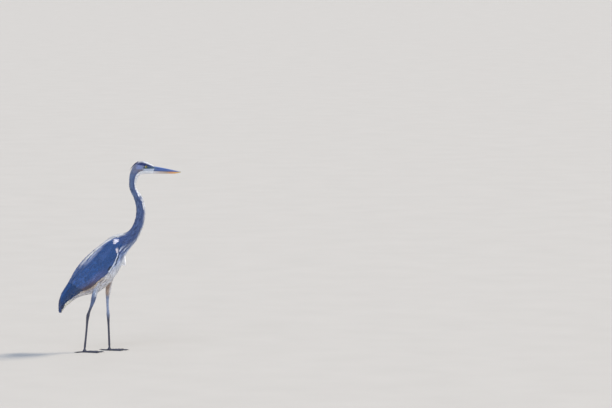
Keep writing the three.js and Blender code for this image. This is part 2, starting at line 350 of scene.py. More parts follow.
def paint(piece: bpy.types.Object, name: str, values: Array) -> None:
    """Stores a value for each vertex of a piece, for its material to read.

    Args:
        piece: The object.
        name: The attribute's name.
        values: A colour or a vector for each vertex.
    """
    layer = piece.data.attributes.new(name, "FLOAT_COLOR", "POINT")
    full = np.ones((len(values), 4), np.float32)
    full[:, :3] = values
    layer.data.foreach_set("color", full.ravel())


def tube_faces(rings: int, sides: int) -> Array:
    """Makes the quads between the rings of one tube, whose vertices are numbered ring by ring.

    Args:
        rings: How many rings the tube has.
        sides: How many vertices each ring has.

    Returns:
        The corners of each quad.
    """
    ring, side = np.meshgrid(np.arange(rings - 1), np.arange(sides), indexing="ij")
    following = (side + 1) % sides
    low, high = ring * sides, (ring + 1) * sides
    return np.stack([low + side, low + following, high + following, high + side], axis=-1).reshape(-1, 4)


def capped_faces(rings: int, sides: int) -> Array:
    """The quads of a tube whose two ends are closed; the number of sides is even."""
    caps = np.array([[i, i + 1, sides - 2 - i, sides - 1 - i] for i in range(sides // 2 - 1)])
    return np.concatenate([tube_faces(rings, sides), caps[:, ::-1], caps + (rings - 1) * sides])


def facing_out(points: Array, faces: Array) -> Array:
    """Turns all the faces of a closed surface round if they face inwards.

    Args:
        points: Its points.
        faces: Its quads.

    Returns:
        The quads, facing outwards.
    """
    a, b, c, d = (points[faces[:, i]] for i in range(4))
    volume = (np.cross(a, b) * c).sum() + (np.cross(a, c) * d).sum()
    return faces if volume > 0 else faces[:, ::-1]


def node_box(name: str) -> tuple[Array, Array, Array]:
    """The low corner, the high corner and the centre of one of the solids."""
    low, high = map(np.array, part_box(name))
    return low, high, (low + high) / 2


def node_points(name: str) -> Array:
    """Reads the vertices of one of the solids.

    Args:
        name: The solid.

    Returns:
        The points, one to a row.
    """
    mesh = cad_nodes()[name].data
    points = np.empty(len(mesh.vertices) * 3, np.float32)
    mesh.vertices.foreach_get("co", points)
    return points.reshape(-1, 3).astype(float)


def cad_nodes() -> dict[str, bpy.types.Object]:
    """The solids by name."""
    return FRAME["nodes"]


def node_samples(name: str, steps: int = 5) -> Array:
    """Points spread over the faces of one of the solids.

    Args:
        name: The solid.
        steps: Into how many each face's sides are divided.

    Returns:
        The points, one to a row.
    """
    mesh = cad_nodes()[name].data
    mesh.calc_loop_triangles()
    corners = np.empty(len(mesh.loop_triangles) * 3, np.int32)
    mesh.loop_triangles.foreach_get("vertices", corners)
    triangles = node_points(name)[corners].reshape(-1, 3, 3)
    shares = [(i / steps, j / steps) for i in range(steps + 1) for j in range(steps + 1 - i)]
    first, second, third = triangles[:, 0], triangles[:, 1], triangles[:, 2]
    return np.concatenate([first * (1 - i - j) + second * i + third * j for i, j in shares])


FRAME: dict[str, Any] = {}
SMOOTHING = (0.5, -0.52)
"""A pull towards the neighbours, then one away from them, so that nothing shrinks."""


def fuse(names: Sequence[str], growth: float, voxel: float, rounds: int) -> tuple[Array, Array]:
    """Joins solids into one closed surface with no seams.

    Args:
        names: The solids.
        growth: How far each is swollen first, to close the gaps between them.
        voxel: The size of the faces made.
        rounds: How many times the surface is smoothed, without shrinking it.

    Returns:
        The points, and the corners of each quad.
    """
    joined = bmesh.new()
    for name in names:
        joined.from_mesh(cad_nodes()[name].data)
    bmesh.ops.remove_doubles(joined, verts=joined.verts, dist=0.02 * MM)
    joined.normal_update()
    for vertex in joined.verts:
        vertex.co += vertex.normal * growth
    mesh = bpy.data.meshes.new("joined_solids")
    joined.to_mesh(mesh)
    joined.free()
    holder = bpy.data.objects.new("joined_solids", mesh)
    bpy.context.scene.collection.objects.link(holder)
    remesh = holder.modifiers.new("remesh", "REMESH")
    remesh.mode = "VOXEL"
    remesh.voxel_size = voxel
    result = holder.evaluated_get(bpy.context.evaluated_depsgraph_get()).to_mesh()
    points = np.empty(len(result.vertices) * 3, np.float32)
    result.vertices.foreach_get("co", points)
    corners = np.empty(len(result.loops), np.int32)
    result.loops.foreach_get("vertex_index", corners)
    bpy.data.objects.remove(holder)
    bpy.data.meshes.remove(mesh)
    points, quads = points.reshape(-1, 3).astype(float), corners.reshape(-1, 4)
    edges = quad_edges(quads)
    for _ in range(rounds):
        for pull in SMOOTHING:
            points += pull * (neighbour_mean(points, edges) - points)
    return points, quads


def quad_edges(quads: Array) -> Array:
    """The two ends of each side of each quad."""
    return np.concatenate([quads[:, [i, (i + 1) % 4]] for i in range(4)])


def neighbour_mean(points: Array, edges: Array) -> Array:
    """Finds the mean of the points joined to each point.

    Args:
        points: The points of a surface.
        edges: The two ends of each edge.

    Returns:
        The mean for each point.
    """
    total = np.zeros_like(points)
    count = np.bincount(edges[:, 0], minlength=len(points))[:, None]
    for axis in range(points.shape[1]):
        total[:, axis] = np.bincount(edges[:, 0], points[edges[:, 1], axis], minlength=len(points))
    return total / np.maximum(count, 1)


def point_normals(points: Array, quads: Array) -> Array:
    """Finds the way out at the vertices of a surface.

    Args:
        points: Its points.
        quads: Its faces.

    Returns:
        A normal for each point.
    """
    first, second, third, fourth = (points[quads[:, i]] for i in range(4))
    cross = np.cross(third - first, fourth - second)
    normals = np.zeros_like(points)
    for corner in range(4):
        for axis in range(3):
            normals[:, axis] += np.bincount(quads[:, corner], cross[:, axis], minlength=len(points))
    return unit(normals)


# ---- Middle lines and surfaces ----


@dataclass
class Spine:
    """A middle line through the body or a limb, and the way round it.

    Distance u runs along it. Angle theta runs round it, from 0 on the back to pi on the belly,
    and is below 0 on the bird's right.
    """

    points: Array
    batch: int = 4000
    """How many places are looked up at once, to spare memory."""
    reach: Array = field(init=False)
    tangents: Array = field(init=False)

    def __post_init__(self) -> None:
        """Works out distances and directions along the line."""
        steps = np.linalg.norm(np.diff(self.points, axis=0), axis=1)
        self.reach = np.concatenate([[0], np.cumsum(steps)])
        self.tangents = unit(np.gradient(self.points, self.reach, axis=0))

    @property
    def length(self) -> float:
        """The line's whole length."""
        return float(self.reach[-1])

    def frame(self, u: Array) -> tuple[Array, Array, Array, Array]:
        """Gives the line and its directions at some distances.

        Args:
            u: Distances along the line.

        Returns:
            The points, and the directions along the line, to the back and to the bird's left.
        """
        u = np.asarray(u, float)
        middle = np.stack([np.interp(u, self.reach, self.points[:, i]) for i in range(3)], axis=-1)
        along = unit(np.stack([np.interp(u, self.reach, self.tangents[:, i]) for i in range(3)], axis=-1))
        left = unit(LEFTWARD - along * along[..., 1:2])
        return middle, along, np.cross(left, along), left

    def locate(self, places: Array) -> tuple[Array, Array]:
        """Finds u and theta for places.

        Args:
            places: Points, one to a row.

        Returns:
            The distances along the line and the angles round it.
        """
        nearest = np.empty(len(places), int)
        for start in range(0, len(places), self.batch):
            chunk = places[start : start + self.batch, None] - self.points[None]
            nearest[start : start + self.batch] = (chunk**2).sum(-1).argmin(1)
        ahead = ((places - self.points[nearest]) * self.tangents[nearest]).sum(1)
        step = self.length / len(self.points)
        u = np.clip(self.reach[nearest] + np.clip(ahead, -step, step), 0, self.length)
        return u, self.angle(places, u)

    def angle(self, places: Array, u: Array) -> Array:
        """Finds the angle round the line of places whose distance along it is known.

        Args:
            places: Points, one to a row.
            u: Their distances along the line.

        Returns:
            The angles.
        """
        middle, _, back, left = self.frame(u)
        off = places - middle
        return np.arctan2((off * left).sum(1), (off * back).sum(1))


@dataclass
class Surface:
    """A closed surface that feathers grow on."""

    points: Array
    quads: Array
    tree: BVHTree = field(init=False)
    normals: Array = field(init=False)

    def __post_init__(self) -> None:
        """Builds the search tree and a smooth normal for each face."""
        self.tree = BVHTree.FromPolygons(self.points.tolist(), self.quads.tolist())
        self.normals = unit(point_normals(self.points, self.quads)[self.quads].sum(1))

    def cast(self, starts: Array, ways: Array, reach: float) -> tuple[Array, Array]:
        """Finds where rays from inside come out.

        Args:
            starts: Where each ray starts.
            ways: Which way each goes.
            reach: The furthest that a hit may be.

        Returns:
            The places, and the face met by each, or -1 for none.
        """
        places, faces = starts.copy(), np.full(len(starts), -1)
        for i, (start, way) in enumerate(zip(starts, ways)):
            place, _, face, _ = self.tree.ray_cast(Vector(start), Vector(way), reach)
            if face is not None:
                places[i], faces[i] = place, face
        return places, faces

    def nearest(self, places: Array) -> tuple[Array, Array]:
        """Finds the closest points of the surface, and their faces."""
        found = [self.tree.find_nearest(Vector(place)) for place in places]
        return np.array([f[0] for f in found]), np.array([f[2] for f in found])


# ---- Markings ----


@dataclass
class Markings:
    """The bird's colours by place, the same for the skin and the coat."""

    spine: Spine
    eye: Array
    nape: float
    throat: float
    shoulder: float
    vent: float
    tail: float
    slate: str = "#4a6093"
    mauve: str = "#687ca2"
    mauve_brown: str = "#8489a2"
    mottle: str = "#36466f"
    crown: str = "#26366e"
    white: str = "#f2f3f4"
    cheek: str = "#ccd5e2"
    ear_patch: str = "#8f9cc8"
    ear_brown: str = "#7d7884"
    lore: str = "#35566c"
    streak: str = "#3a4d7e"
    # Painted sunlit rim: warm white along the top of the back.
    sunlit_back: str = "#e9e6e0"
    # Painted blue shade on the breast, under the white laid over it.
    shaded_breast_blue: str = "#93a8d2"
    belly: str = "#d6d4d4"
    # Painted mauve shade, laid in streaks over the pale belly.
    flank: str = "#9296ae"
    buff: str = "#c6b094"
    cream: str = "#efecdc"
    rear: str = "#3a4c74"
    thighs: dict[float, Spine] = field(default_factory=dict)
    """The middle line of each thigh, from its top to a little way down the shank, by side."""
    thigh_buff: str = "#bfa898"
    thigh_blue: str = "#9aaac6"
    shank: str = "#8c99b4"
    # Painted shade: the near leg's bare shank, darker than the far one's.
    shaded_near_shank: str = "#66769b"
    neck_radius: float = 22 * MM
    trunk_radius: float = 50 * MM

    def colours(self, u: Array, theta: Array, places: Array) -> Array:
        """Colours the body at some places.

        Args:
            u: Distances along the body's middle line.
            theta: Angles round it.
            places: The places themselves.

        Returns:
            A linear colour for each.
        """
        belly_side = np.abs(theta) / math.pi
        colour = self.neck(u, belly_side, theta)
        on_head = ease(self.nape + 14 * MM, self.nape - 12 * MM, u)
        colour = blend(colour, self.head(places), on_head)
        colour = self.foreneck(colour, u, belly_side, theta)
        return self.trunk(colour, u, belly_side, theta)

    def head(self, places: Array) -> Array:
        """Colours the head: white forehead and cheek, a dark band over the eye, a dark lore.

        Args:
            places: Places on the head.

        Returns:
            A linear colour for each.
        """
        ahead, above = (places - self.eye)[:, 0], (places - self.eye)[:, 2]
        across = np.abs(places[:, 1])
        brown = ease(-52 * MM, -34 * MM, ahead) * ease(0.0, -8 * MM, above)
        pale = ease(-56 * MM, -44 * MM, ahead) * ease(-12 * MM, -24 * MM, ahead)
        pale *= ease(-16 * MM, -9 * MM, above)
        face = ease(-28 * MM, -12 * MM, ahead + 0.3 * above) * ease(-4 * MM, -9 * MM, above)
        lore = ease(-20 * MM, -10 * MM, ahead) * ease(-12 * MM, -8 * MM, above)
        band = 3 * MM - 0.16 * ahead
        stripe = ease(band - 2 * MM, band + 2 * MM, above) * ease(40 * MM, 20 * MM, ahead)
        brow = 16 * MM - 0.37 * np.maximum(ahead, -16 * MM)
        forehead = ease(brow - 2.5 * MM, brow + 2.5 * MM, above) * ease(-22 * MM, -10 * MM, ahead)
        midline = ease(15 * MM, 9 * MM, across) * ease(8 * MM, 16 * MM, above)
        midline *= 0.5 * ease(-52 * MM, -36 * MM, ahead) + 0.5 * ease(-24 * MM, -10 * MM, ahead)
        return layered(
            plain(self.mauve_brown, len(places)),
            (self.ear_brown, brown),
            (self.ear_patch, pale),
            (self.cheek, face),
            (self.lore, lore * ease(2 * MM, -3 * MM, above)),
            (self.crown, stripe),
            (self.white, np.maximum(forehead, midline * 0.9)),
        )

    def neck(self, u: Array, belly_side: Array, theta: Array) -> Array:
        """Colours the neck's back and sides: mauve behind, slate before, with dark mottles.

        Args:
            u: Distances along the body's middle line.
            belly_side: 0 on the back to 1 on the belly.
            theta: Angles round the line.

        Returns:
            A linear colour for each.
        """
        lower = ease(self.throat + 60 * MM, self.shoulder - 60 * MM, u)
        slate = np.maximum(ease(0.35, 0.6, belly_side) * 0.8, lower * 0.7)
        spots = ease(0.52, 0.7, streaks(u, theta * self.neck_radius, 15, 5, 5))
        spots *= ease(self.throat - 20 * MM, self.throat + 90 * MM, u)
        return layered(
            plain(self.mauve, len(u)),
            (self.mauve_brown, ease(self.throat, self.nape, u) * 0.8),
            (self.slate, slate),
            (self.mottle, spots * 0.75),
        )

    def foreneck(self, colour: Array, u: Array, belly_side: Array, theta: Array) -> Array:
        """Adds the white line down the chin and foreneck, broken by dark streaks lower down.

        Args:
            colour: The colours so far.
            u: Distances along the body's middle line.
            belly_side: 0 on the back to 1 on the belly.
            theta: Angles round the line.

        Returns:
            The colours with the line.
        """
        marks = (0.6 * self.nape, self.nape, self.throat, self.throat + 90 * MM, self.throat + 150 * MM)
        marks += (self.shoulder - 120 * MM, self.shoulder - 30 * MM, self.shoulder + 30 * MM)
        front_edge = np.interp(u, marks, (0.7, 0.64, 0.62, 0.64, 0.72, 0.77, 0.77, 0.76))
        front = ease(front_edge, front_edge + 0.05, belly_side)
        dark = ease(0.46, 0.58, streaks(u, theta * self.neck_radius, 24, 3.4, 11))
        dark *= ease(self.throat + 60 * MM, self.throat + 120 * MM, u) * ease(1.0, 0.86, belly_side)
        fading = ease(self.shoulder + 60 * MM, self.shoulder, u)
        lower = ease(self.throat + 90 * MM, self.shoulder - 110 * MM, u)
        clean = (1 - 0.85 * dark) * (1 - 0.42 * lower * ease(0.97, 0.88, belly_side))
        return blend(colour, linear(self.white), front * fading * clean)

    def trunk(self, colour: Array, u: Array, belly_side: Array, theta: Array) -> Array:
        """Adds the trunk's colours: slate above, a painted sunlit rim on the back, streaked breast over
        painted blue shade, pale belly with painted shade, cream below the tail.

        Args:
            colour: The colours so far.
            u: Distances along the body's middle line.
            belly_side: 0 on the back to 1 on the belly.
            theta: Angles round the line.

        Returns:
            The colours with the trunk's markings.
        """
        start = self.shoulder
        rolled = theta * self.trunk_radius
        upper = ease(start - 40 * MM, start + 10 * MM, u) * ease(0.6, 0.4, belly_side)
        # Painted sunlit rim along the top of the back, broken into streaky rows.
        sunlit_back = ease(start - 30 * MM, start + 10 * MM, u) * ease(start + 170 * MM, start + 70 * MM, u)
        pale_rows = ease(0.35, 0.6, streaks(u, rolled, 30, 6, 61))
        sunlit_back = sunlit_back * ease(0.3, 0.18, belly_side) * (0.75 + 0.25 * pale_rows)
        side = ease(start - 30 * MM, start + 100 * MM, u)
        breast = ease(start - 30 * MM, start + 50 * MM, u)
        breast = breast * ease(0.66 - 0.16 * side, 0.76 - 0.14 * side, belly_side)
        light = ease(0.42, 0.6, streaks(u, rolled, 60, 4.5, 41))
        lower = ease(start + 60 * MM, start + 130 * MM, u)
        whiter = np.clip(light * 0.8 + ease(0.82, 0.94, belly_side) + lower * 0.3, 0, 1)
        whiter = breast * whiter * (0.68 + 0.2 * ease(0.84, 0.96, belly_side))
        dark = ease(0.55, 0.66, streaks(u, rolled, 50, 4.5, 23))
        streaked = breast * ease(start + 170 * MM, start + 90 * MM, u) * ease(0.95, 0.82, belly_side)
        pale = ease(start + 130 * MM, start + 230 * MM, u) * ease(0.5, 0.6, belly_side)
        shadowed = ease(0.45, 0.65, streaks(u, rolled, 26, 8, 71))
        shadowed = shadowed * ease(0.95, 0.75, belly_side)
        buff = ease(self.vent - 210 * MM, self.vent - 150 * MM, u)
        buff = buff * ease(self.vent - 20 * MM, self.vent - 90 * MM, u)
        buff = buff * ease(0.5, 0.6, belly_side) * ease(0.86, 0.7, belly_side) * 0.8
        return layered(
            colour,
            (self.slate, upper),
            (self.sunlit_back, sunlit_back),
            # Painted blue shade on the breast; the white laid over it leaves some showing.
            (self.shaded_breast_blue, breast),
            (self.white, whiter),
            (self.streak, dark * streaked * 0.9),
            (self.belly, pale),
            (self.flank, pale * shadowed * 0.6),
            (self.buff, buff),
            (self.cream, ease(self.vent, self.vent + 50 * MM, u) * ease(0.52, 0.6, belly_side)),
            (self.rear, ease(self.tail - 60 * MM, self.tail, u) * ease(0.56, 0.48, belly_side)),
        )

    def thigh(self, places: Array, side: float) -> Array:
        """The thigh: bluish white outside, buff inside, with a painted sunlit rim down its front and painted
        shade low on the near thigh.

        Args:
            places: Places on one thigh.
            side: -1 for the right thigh, 1 for the left.

        Returns:
            A linear colour for each.
        """
        line = self.thighs[side]
        u, theta = line.locate(places)
        outwards = (places[:, 1] * side - 38 * MM) / (8 * MM)
        colour = layered(
            plain(self.thigh_buff, len(places)),
            (self.thigh_blue, ease(-0.6, 0.6, outwards)),
            # Painted sunlit rim: white down the front of the thigh.
            (self.white, ease(0.5, 0.72, np.abs(theta) / math.pi) * 0.7),
            (self.belly, ease(0.6 * line.length, 0.2 * line.length, u) * 0.75),
        )
        # Painted shade on the near thigh's lower end, where it meets the shank.
        if side < 0:
            colour = layered(colour, (self.shaded_near_shank, ease(0.5 * line.length, 0.72 * line.length, u)))
        return colour * (0.9 + 0.2 * grain(places, 7 * MM, 31))[:, None]


# ---- Feathers ----


@dataclass(frozen=True)
class FeatherShape:
    """The outline and section of one kind of feather."""

    segments: int = 4
    widening: float = 0.4
    """How slowly it widens from the quill."""
    taper: float = 3.0
    """How late it narrows to the tip."""
    point: float = 0.5
    """How sharp its tip is: 0.5 is round."""
    thickness: float = 0.45 * MM
    sag: float = 0.16
    """How far its edges fall, as a share of its half width."""
    blunt: float = 0.06
    """Half width at the very tip, as a share of the greatest."""

    def outline(self) -> Array:
        """Works out how wide the feather is along its length.

        Returns:
            The half width at each ring as a share of the greatest.
        """
        t = np.linspace(0, 1, 60)
        full = ((t + 0.03) / 1.03) ** self.widening * (1 - t**self.taper) ** self.point
        return np.maximum(np.interp(self.stations(), t, full / full.max()), self.blunt)

    def stations(self) -> Array:
        """Where the rings are, from 0 at the quill to 1 at the tip, closer near the tip."""
        return np.linspace(0, 1, self.segments + 1) ** 0.75


CONTOUR = FeatherShape()
HAIRY = FeatherShape(segments=3, widening=0.3, taper=2.0, point=0.8, thickness=0.4 * MM)
COVERT = FeatherShape(segments=5, widening=0.3, taper=4.0, sag=0.1, blunt=0.3)
FLIGHT = FeatherShape(segments=10, widening=0.22, taper=9.0, thickness=0.7 * MM, sag=0.08, blunt=0.3)
LANCE = FeatherShape(segments=5, widening=0.35, taper=1.7, point=0.9, thickness=0.5 * MM)
PLUME = FeatherShape(segments=8, widening=0.3, taper=1.6, point=0.9, thickness=0.7 * MM)


@dataclass
class Feathers:
    """Feathers gathered from one or more tracts, to become one piece."""

    points: list[Array] = field(default_factory=list)
    faces: list[Array] = field(default_factory=list)
    tints: list[Array] = field(default_factory=list)
    vanes: list[Array] = field(default_factory=list)
    patches: list[Array] = field(default_factory=list)
    count: int = 0

    def grow(
        self,
        paths: Array,
        normals: Array,
        half_width: Array,
        shape: FeatherShape,
        tint: Array,
        fringe: Array,
        patch: Array,
        roll: Array,
    ) -> None:
        """Adds feathers that all have the same shape.

        Args:
            paths: The shaft of each feather, as one point for each of its rings.
            normals: The way out from the body at each of those points.
            half_width: Half of each feather's greatest width.
            shape: Its outline and section.
            tint: Its colour along the shaft.
            fringe: Its colour at the edges and tip.
            patch: The middle of its patch on the map of the skin.
            roll: How far its left edge is raised over its right, as a share of its half width.
        """
        number, rings = paths.shape[:2]
        along = unit(np.gradient(paths, axis=1))
        across = unit(np.cross(normals, along))
        outward = np.cross(along, across)
        half = (half_width[:, None] * shape.outline()[None])[..., None]
        thick = shape.thickness * np.minimum(1, shape.outline() * 1.5)[None, :, None]
        tilt = roll[:, None, None] * half
        left = paths + across * half + outward * (tilt - shape.sag * half)
        right = paths - across * half - outward * (tilt + shape.sag * half)
        top = paths + outward * thick / 2
        bottom = paths - outward * (thick / 2 + 0.3 * shape.sag * half)
        corners = np.stack([left, top, right, bottom], axis=2)

        faces = tube_faces(rings, 4)
        last = (rings - 1) * 4
        caps = np.array([[3, 2, 1, 0], [last, last + 1, last + 2, last + 3]])
        faces = np.concatenate([faces[:, ::-1], caps[:, ::-1]])
        shift = self.count + np.arange(number)[:, None, None] * rings * 4
        self.faces.append((faces[None] + shift).reshape(-1, 4))
        self.points.append(corners.reshape(-1, 3))
        self.count += number * rings * 4

        share = shape.stations()[None, :, None, None]
        edge = np.array([1.0, 0.0, 1.0, 0.3])[None, None, :, None]
        pale = np.clip(0.75 * edge + ease(0.75, 1.0, share) * 0.9, 0, 1) * np.ones((number, 1, 1, 1))
        tints = tint[:, None, None] * (1 - pale) + fringe[:, None, None] * pale
        self.tints.append(tints.reshape(-1, 3))

        side = np.array([-1.0, 0.0, 1.0, 0.0])
        length = np.linalg.norm(np.diff(paths, axis=1), axis=2).sum(1)
        distance = length[:, None] * shape.stations()[None] / MM
        lot = np.modf(paths[:, 0].sum(1) * 7919.0)[0] % 1
        vane = np.empty((number, rings, 4, 3))
        vane[..., 0] = side * half_width[:, None, None] / MM
        vane[..., 1] = distance[..., None]
        vane[..., 2] = lot[:, None, None]
        self.vanes.append(vane.reshape(-1, 3))

        spot = np.empty((number, rings, 4, 2))
        spot[..., 0] = patch[:, None, None, 0] + (shape.stations()[None, :, None] - 0.5) * PATCH
        spot[..., 1] = patch[:, None, None, 1] + side * 0.5 * PATCH
        self.patches.append(spot.reshape(-1, 2))

    def piece(self, name: str, material: bpy.types.Material, slot: str) -> bpy.types.Object:
        """Makes all the gathered feathers into one piece.

        Args:
            name: The piece's name.
            material: Its finish.
            slot: Not used.

        Returns:
            The piece, riding on the body.
        """
        faces = np.concatenate(self.faces)
        made = mesh_object(name, np.concatenate(self.points), faces)
        paint(made, "tint", np.concatenate(self.tints))
        paint(made, "vane", np.concatenate(self.vanes))
        layer = made.data.uv_layers.new(name="OFBake")
        layer.uv.foreach_set("vector", np.concatenate(self.patches)[faces.ravel()].astype(np.float32).ravel())
        made.data.materials.append(material)
        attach(made, "root")
        LOG.info("%s: %d triangles", name, 2 * len(faces))
        return made


THIGH_OVERLAP = 20 * MM
"""How far a thigh's feathers may hang down over the bare shank."""
PATCH = 0.003
"""Width of a feather's patch on the map of the skin."""


@dataclass(frozen=True)
class Plot:
    """A part of the map of the skin, where one middle line's surface is unrolled."""

    left: float
    low: float
    width: float
    height: float

    def spot(self, u: Array, theta: Array, length: float) -> Array:
        """The place on the map for places on the surface.

        Args:
            u: Distances along the middle line.
            theta: Angles round it.
            length: The line's length.

        Returns:
            Two map coordinates for each.
        """
        across = self.left + self.width * u / length
        return np.stack([across, self.low + self.height * (theta / TURN + 0.5)], axis=-1)


BODY_PLOT = Plot(0.01, 0.01, 0.97, 0.62)
THIGH_PLOTS = {"right": Plot(0.01, 0.66, 0.4, 0.3), "left": Plot(0.5, 0.66, 0.4, 0.3)}


@dataclass
class Tract:
    """Feathers set in rows round a middle line, each lying along the surface towards its end."""

    surface: Surface
    spine: Spine
    rng: np.random.Generator
    reach: float = 0.16

    def roots(
        self, spacing: Callable[[float], float], start: float, end: float, keep: Keep
    ) -> tuple[Array, Array, Array, Array]:
        """Sets out roots in offset rows.

        Args:
            spacing: The distance between feathers, for a distance along the line.
            start: Where the rows begin.
            end: Where they end.
            keep: Tells from u, theta and places which roots to keep.

        Returns:
            Distances along the line, angles, places and faces of the roots.
        """
        us, thetas, radius, u, row = [], [], 25 * MM, start, 0
        probe = np.linspace(-math.pi, math.pi, 12, endpoint=False)
        while u < end:
            gap = spacing(u)
            level = np.full(len(probe), u)
            places, faces = self.project(level, probe)
            if (faces >= 0).any():
                middle = self.spine.frame(level)[0]
                radius = float(np.median(np.linalg.norm(places - middle, axis=1)[faces >= 0]))
            number = max(8, int(TURN * radius / gap))
            turn = (np.arange(number) + 0.5 * (row % 2)) / number * TURN - math.pi
            thetas.append(turn + self.rng.normal(0, 0.16, number) * gap / radius)
            us.append(u + self.rng.normal(0, 0.16, number) * gap)
            u += gap * 0.8
            row += 1
        u_all = np.clip(np.concatenate(us), 0, self.spine.length)
        theta = (np.concatenate(thetas) + math.pi) % TURN - math.pi
        places, faces = self.project(u_all, theta)
        good = (faces >= 0) & keep(u_all, theta, places)
        return u_all[good], theta[good], places[good], faces[good]

    def project(self, u: Array, theta: Array) -> tuple[Array, Array]:
        """Finds the places on the surface at some distances and angles.

        Args:
            u: The distances along the middle line.
            theta: The angles round it.

        Returns:
            The places and their faces.
        """
        middle, _, back, left = self.spine.frame(u)
        way = back * np.cos(theta)[:, None] + left * np.sin(theta)[:, None]
        return self.surface.cast(middle, way, self.reach)

    def lay(
        self,
        u: Array,
        places: Array,
        faces: Array,
        length: Array,
        segments: Array,
        splay: Array,
    ) -> tuple[Array, Array]:
        """Runs a shaft from each root along the surface.

        Args:
            u: The roots' distances along the middle line.
            places: The roots.
            faces: Their faces.
            length: The length of each feather.
            segments: The shares of the length where the rings are.
            splay: The angle of each feather from the lie of the coat.

        Returns:
            The points of each shaft, on the surface, and the normals there.
        """
        normal = self.surface.normals[faces]
        path, normals, here = [places], [normal], places
        for step in np.diff(segments):
            reached = np.clip(u + segments[len(path) - 1] * length, 0, self.spine.length)
            _, along, _, _ = self.spine.frame(reached)
            way = tangent(along, normal)
            way = way * np.cos(splay)[:, None] + np.cross(normal, way) * np.sin(splay)[:, None]
            ahead = here + way * (step * length)[:, None]
            on_skin, faces = self.surface.nearest(ahead)
            fresh = unit(0.5 * normal + 0.5 * self.surface.normals[faces])
            gap = ((ahead - on_skin) * fresh).sum(1)
            edge = np.linalg.norm(ahead - on_skin, axis=1) > 1.6 * np.abs(gap) + 0.3 * (step * length)
            here = np.where(edge[:, None], ahead, on_skin)
            normal = fresh
            path.append(here)
            normals.append(normal)
        return np.stack(path, axis=1), np.stack(normals, axis=1)


def lifted(
    paths: Array,
    normals: Array,
    shape: FeatherShape,
    root: float,
    tip: Array | float,
    tucked: Array | bool = False,
) -> Array:
    """Raises shafts off the surface, from the root to the tip.

    Args:
        paths: Shafts on the surface.
        normals: The way out there.
        shape: The feathers' shape.
        root: Height of the root, below 0 when it is in the skin.
        tip: Height of the tip.
        tucked: Which points of the shafts lie under something else, in the skin.

    Returns:
        The raised shafts.
    """
    share = shape.stations()[None, :] ** 0.7
    tip = np.broadcast_to(np.asarray(tip, float), (len(paths),))[:, None]
    height = root + (tip - root) * share
    height = np.where(tucked, -1.6 * MM, height)
    return paths + normals * height[..., None]


# ---- Finishes ----


@dataclass(frozen=True)
class VaneFinish:
    """Keratin vanes of a feather: matt barbs side by side, with a soft silky sheen."""

    name: str
    roughness: float = 0.62
    sheen: float = 0.12
    barb: float = 1.5
    """Spacing of the barbs in mm: real ones are a third of this and would not show."""
    contrast: float = 0.1

    def material(self) -> bpy.types.Material:
        """Makes the finish: the feather's tint, broken by barbs, a shaft line and soft mottling.

        Returns:
            The material.
        """
        material, tree = blank_material(self.name)
        parts = add(tree, "SeparateXYZ", {0: stored(tree, "vane").outputs["Vector"]})
        across = calc(tree, "ABSOLUTE", parts.outputs["X"])
        slant = calc(tree, "MULTIPLY_ADD", across, -0.7, parts.outputs["Y"])
        wave = calc(tree, "SINE", calc(tree, "MULTIPLY", slant, TURN / self.barb))
        lot = calc(tree, "MULTIPLY_ADD", parts.outputs["Z"], 0.2, 0.96)
        mottle = calc(tree, "MULTIPLY_ADD", cloud(tree, 60.0, 3.0, Roughness=0.6), 0.4, -0.2)
        barbs = calc(tree, "MULTIPLY_ADD", wave, self.contrast / 2, mottle)
        edges = {"From Min": 0.2, "From Max": 0.7, "To Min": 0.82, "To Max": 1.0}
        shaft = add(tree, "MapRange", {"Value": across, **edges}).outputs[0]
        shade = calc(tree, "MULTIPLY", calc(tree, "ADD", lot, barbs), shaft)
        bump = add(tree, "Bump", {"Strength": 0.2, "Distance": 0.15 * MM, "Height": wave})
        close_surface(
            tree,
            {
                "Base Color": scaled(tree, stored(tree, "tint").outputs["Color"], shade),
                "Roughness": self.roughness,
                "Sheen Weight": self.sheen,
                "Sheen Roughness": 0.5,
                "Specular IOR Level": 0.3,
                "Normal": bump.outputs[0],
            },
        )
        return material


@dataclass(frozen=True)
class DownFinish:
    """Skin closely covered in down: quite matt, with a fine fluffy break in its colour."""

    name: str = "downy skin under the coat"

    def material(self) -> bpy.types.Material:
        """Makes the finish from the markings and a fine noise.

        Returns:
            The material.
        """
        material, tree = blank_material(self.name)
        fine = cloud(tree, 420.0, 4.0)
        shade = calc(tree, "MULTIPLY_ADD", fine, 0.5, 0.6)
        bump = add(tree, "Bump", {"Strength": 0.6, "Distance": 0.8 * MM, "Height": fine})
        close_surface(
            tree,
            {
                "Base Color": scaled(tree, stored(tree, "tint").outputs["Color"], shade),
                "Roughness": 0.9,
                "Sheen Weight": 0.2,
                "Specular IOR Level": 0.2,
                "Normal": bump.outputs[0],
            },
        )
        return material


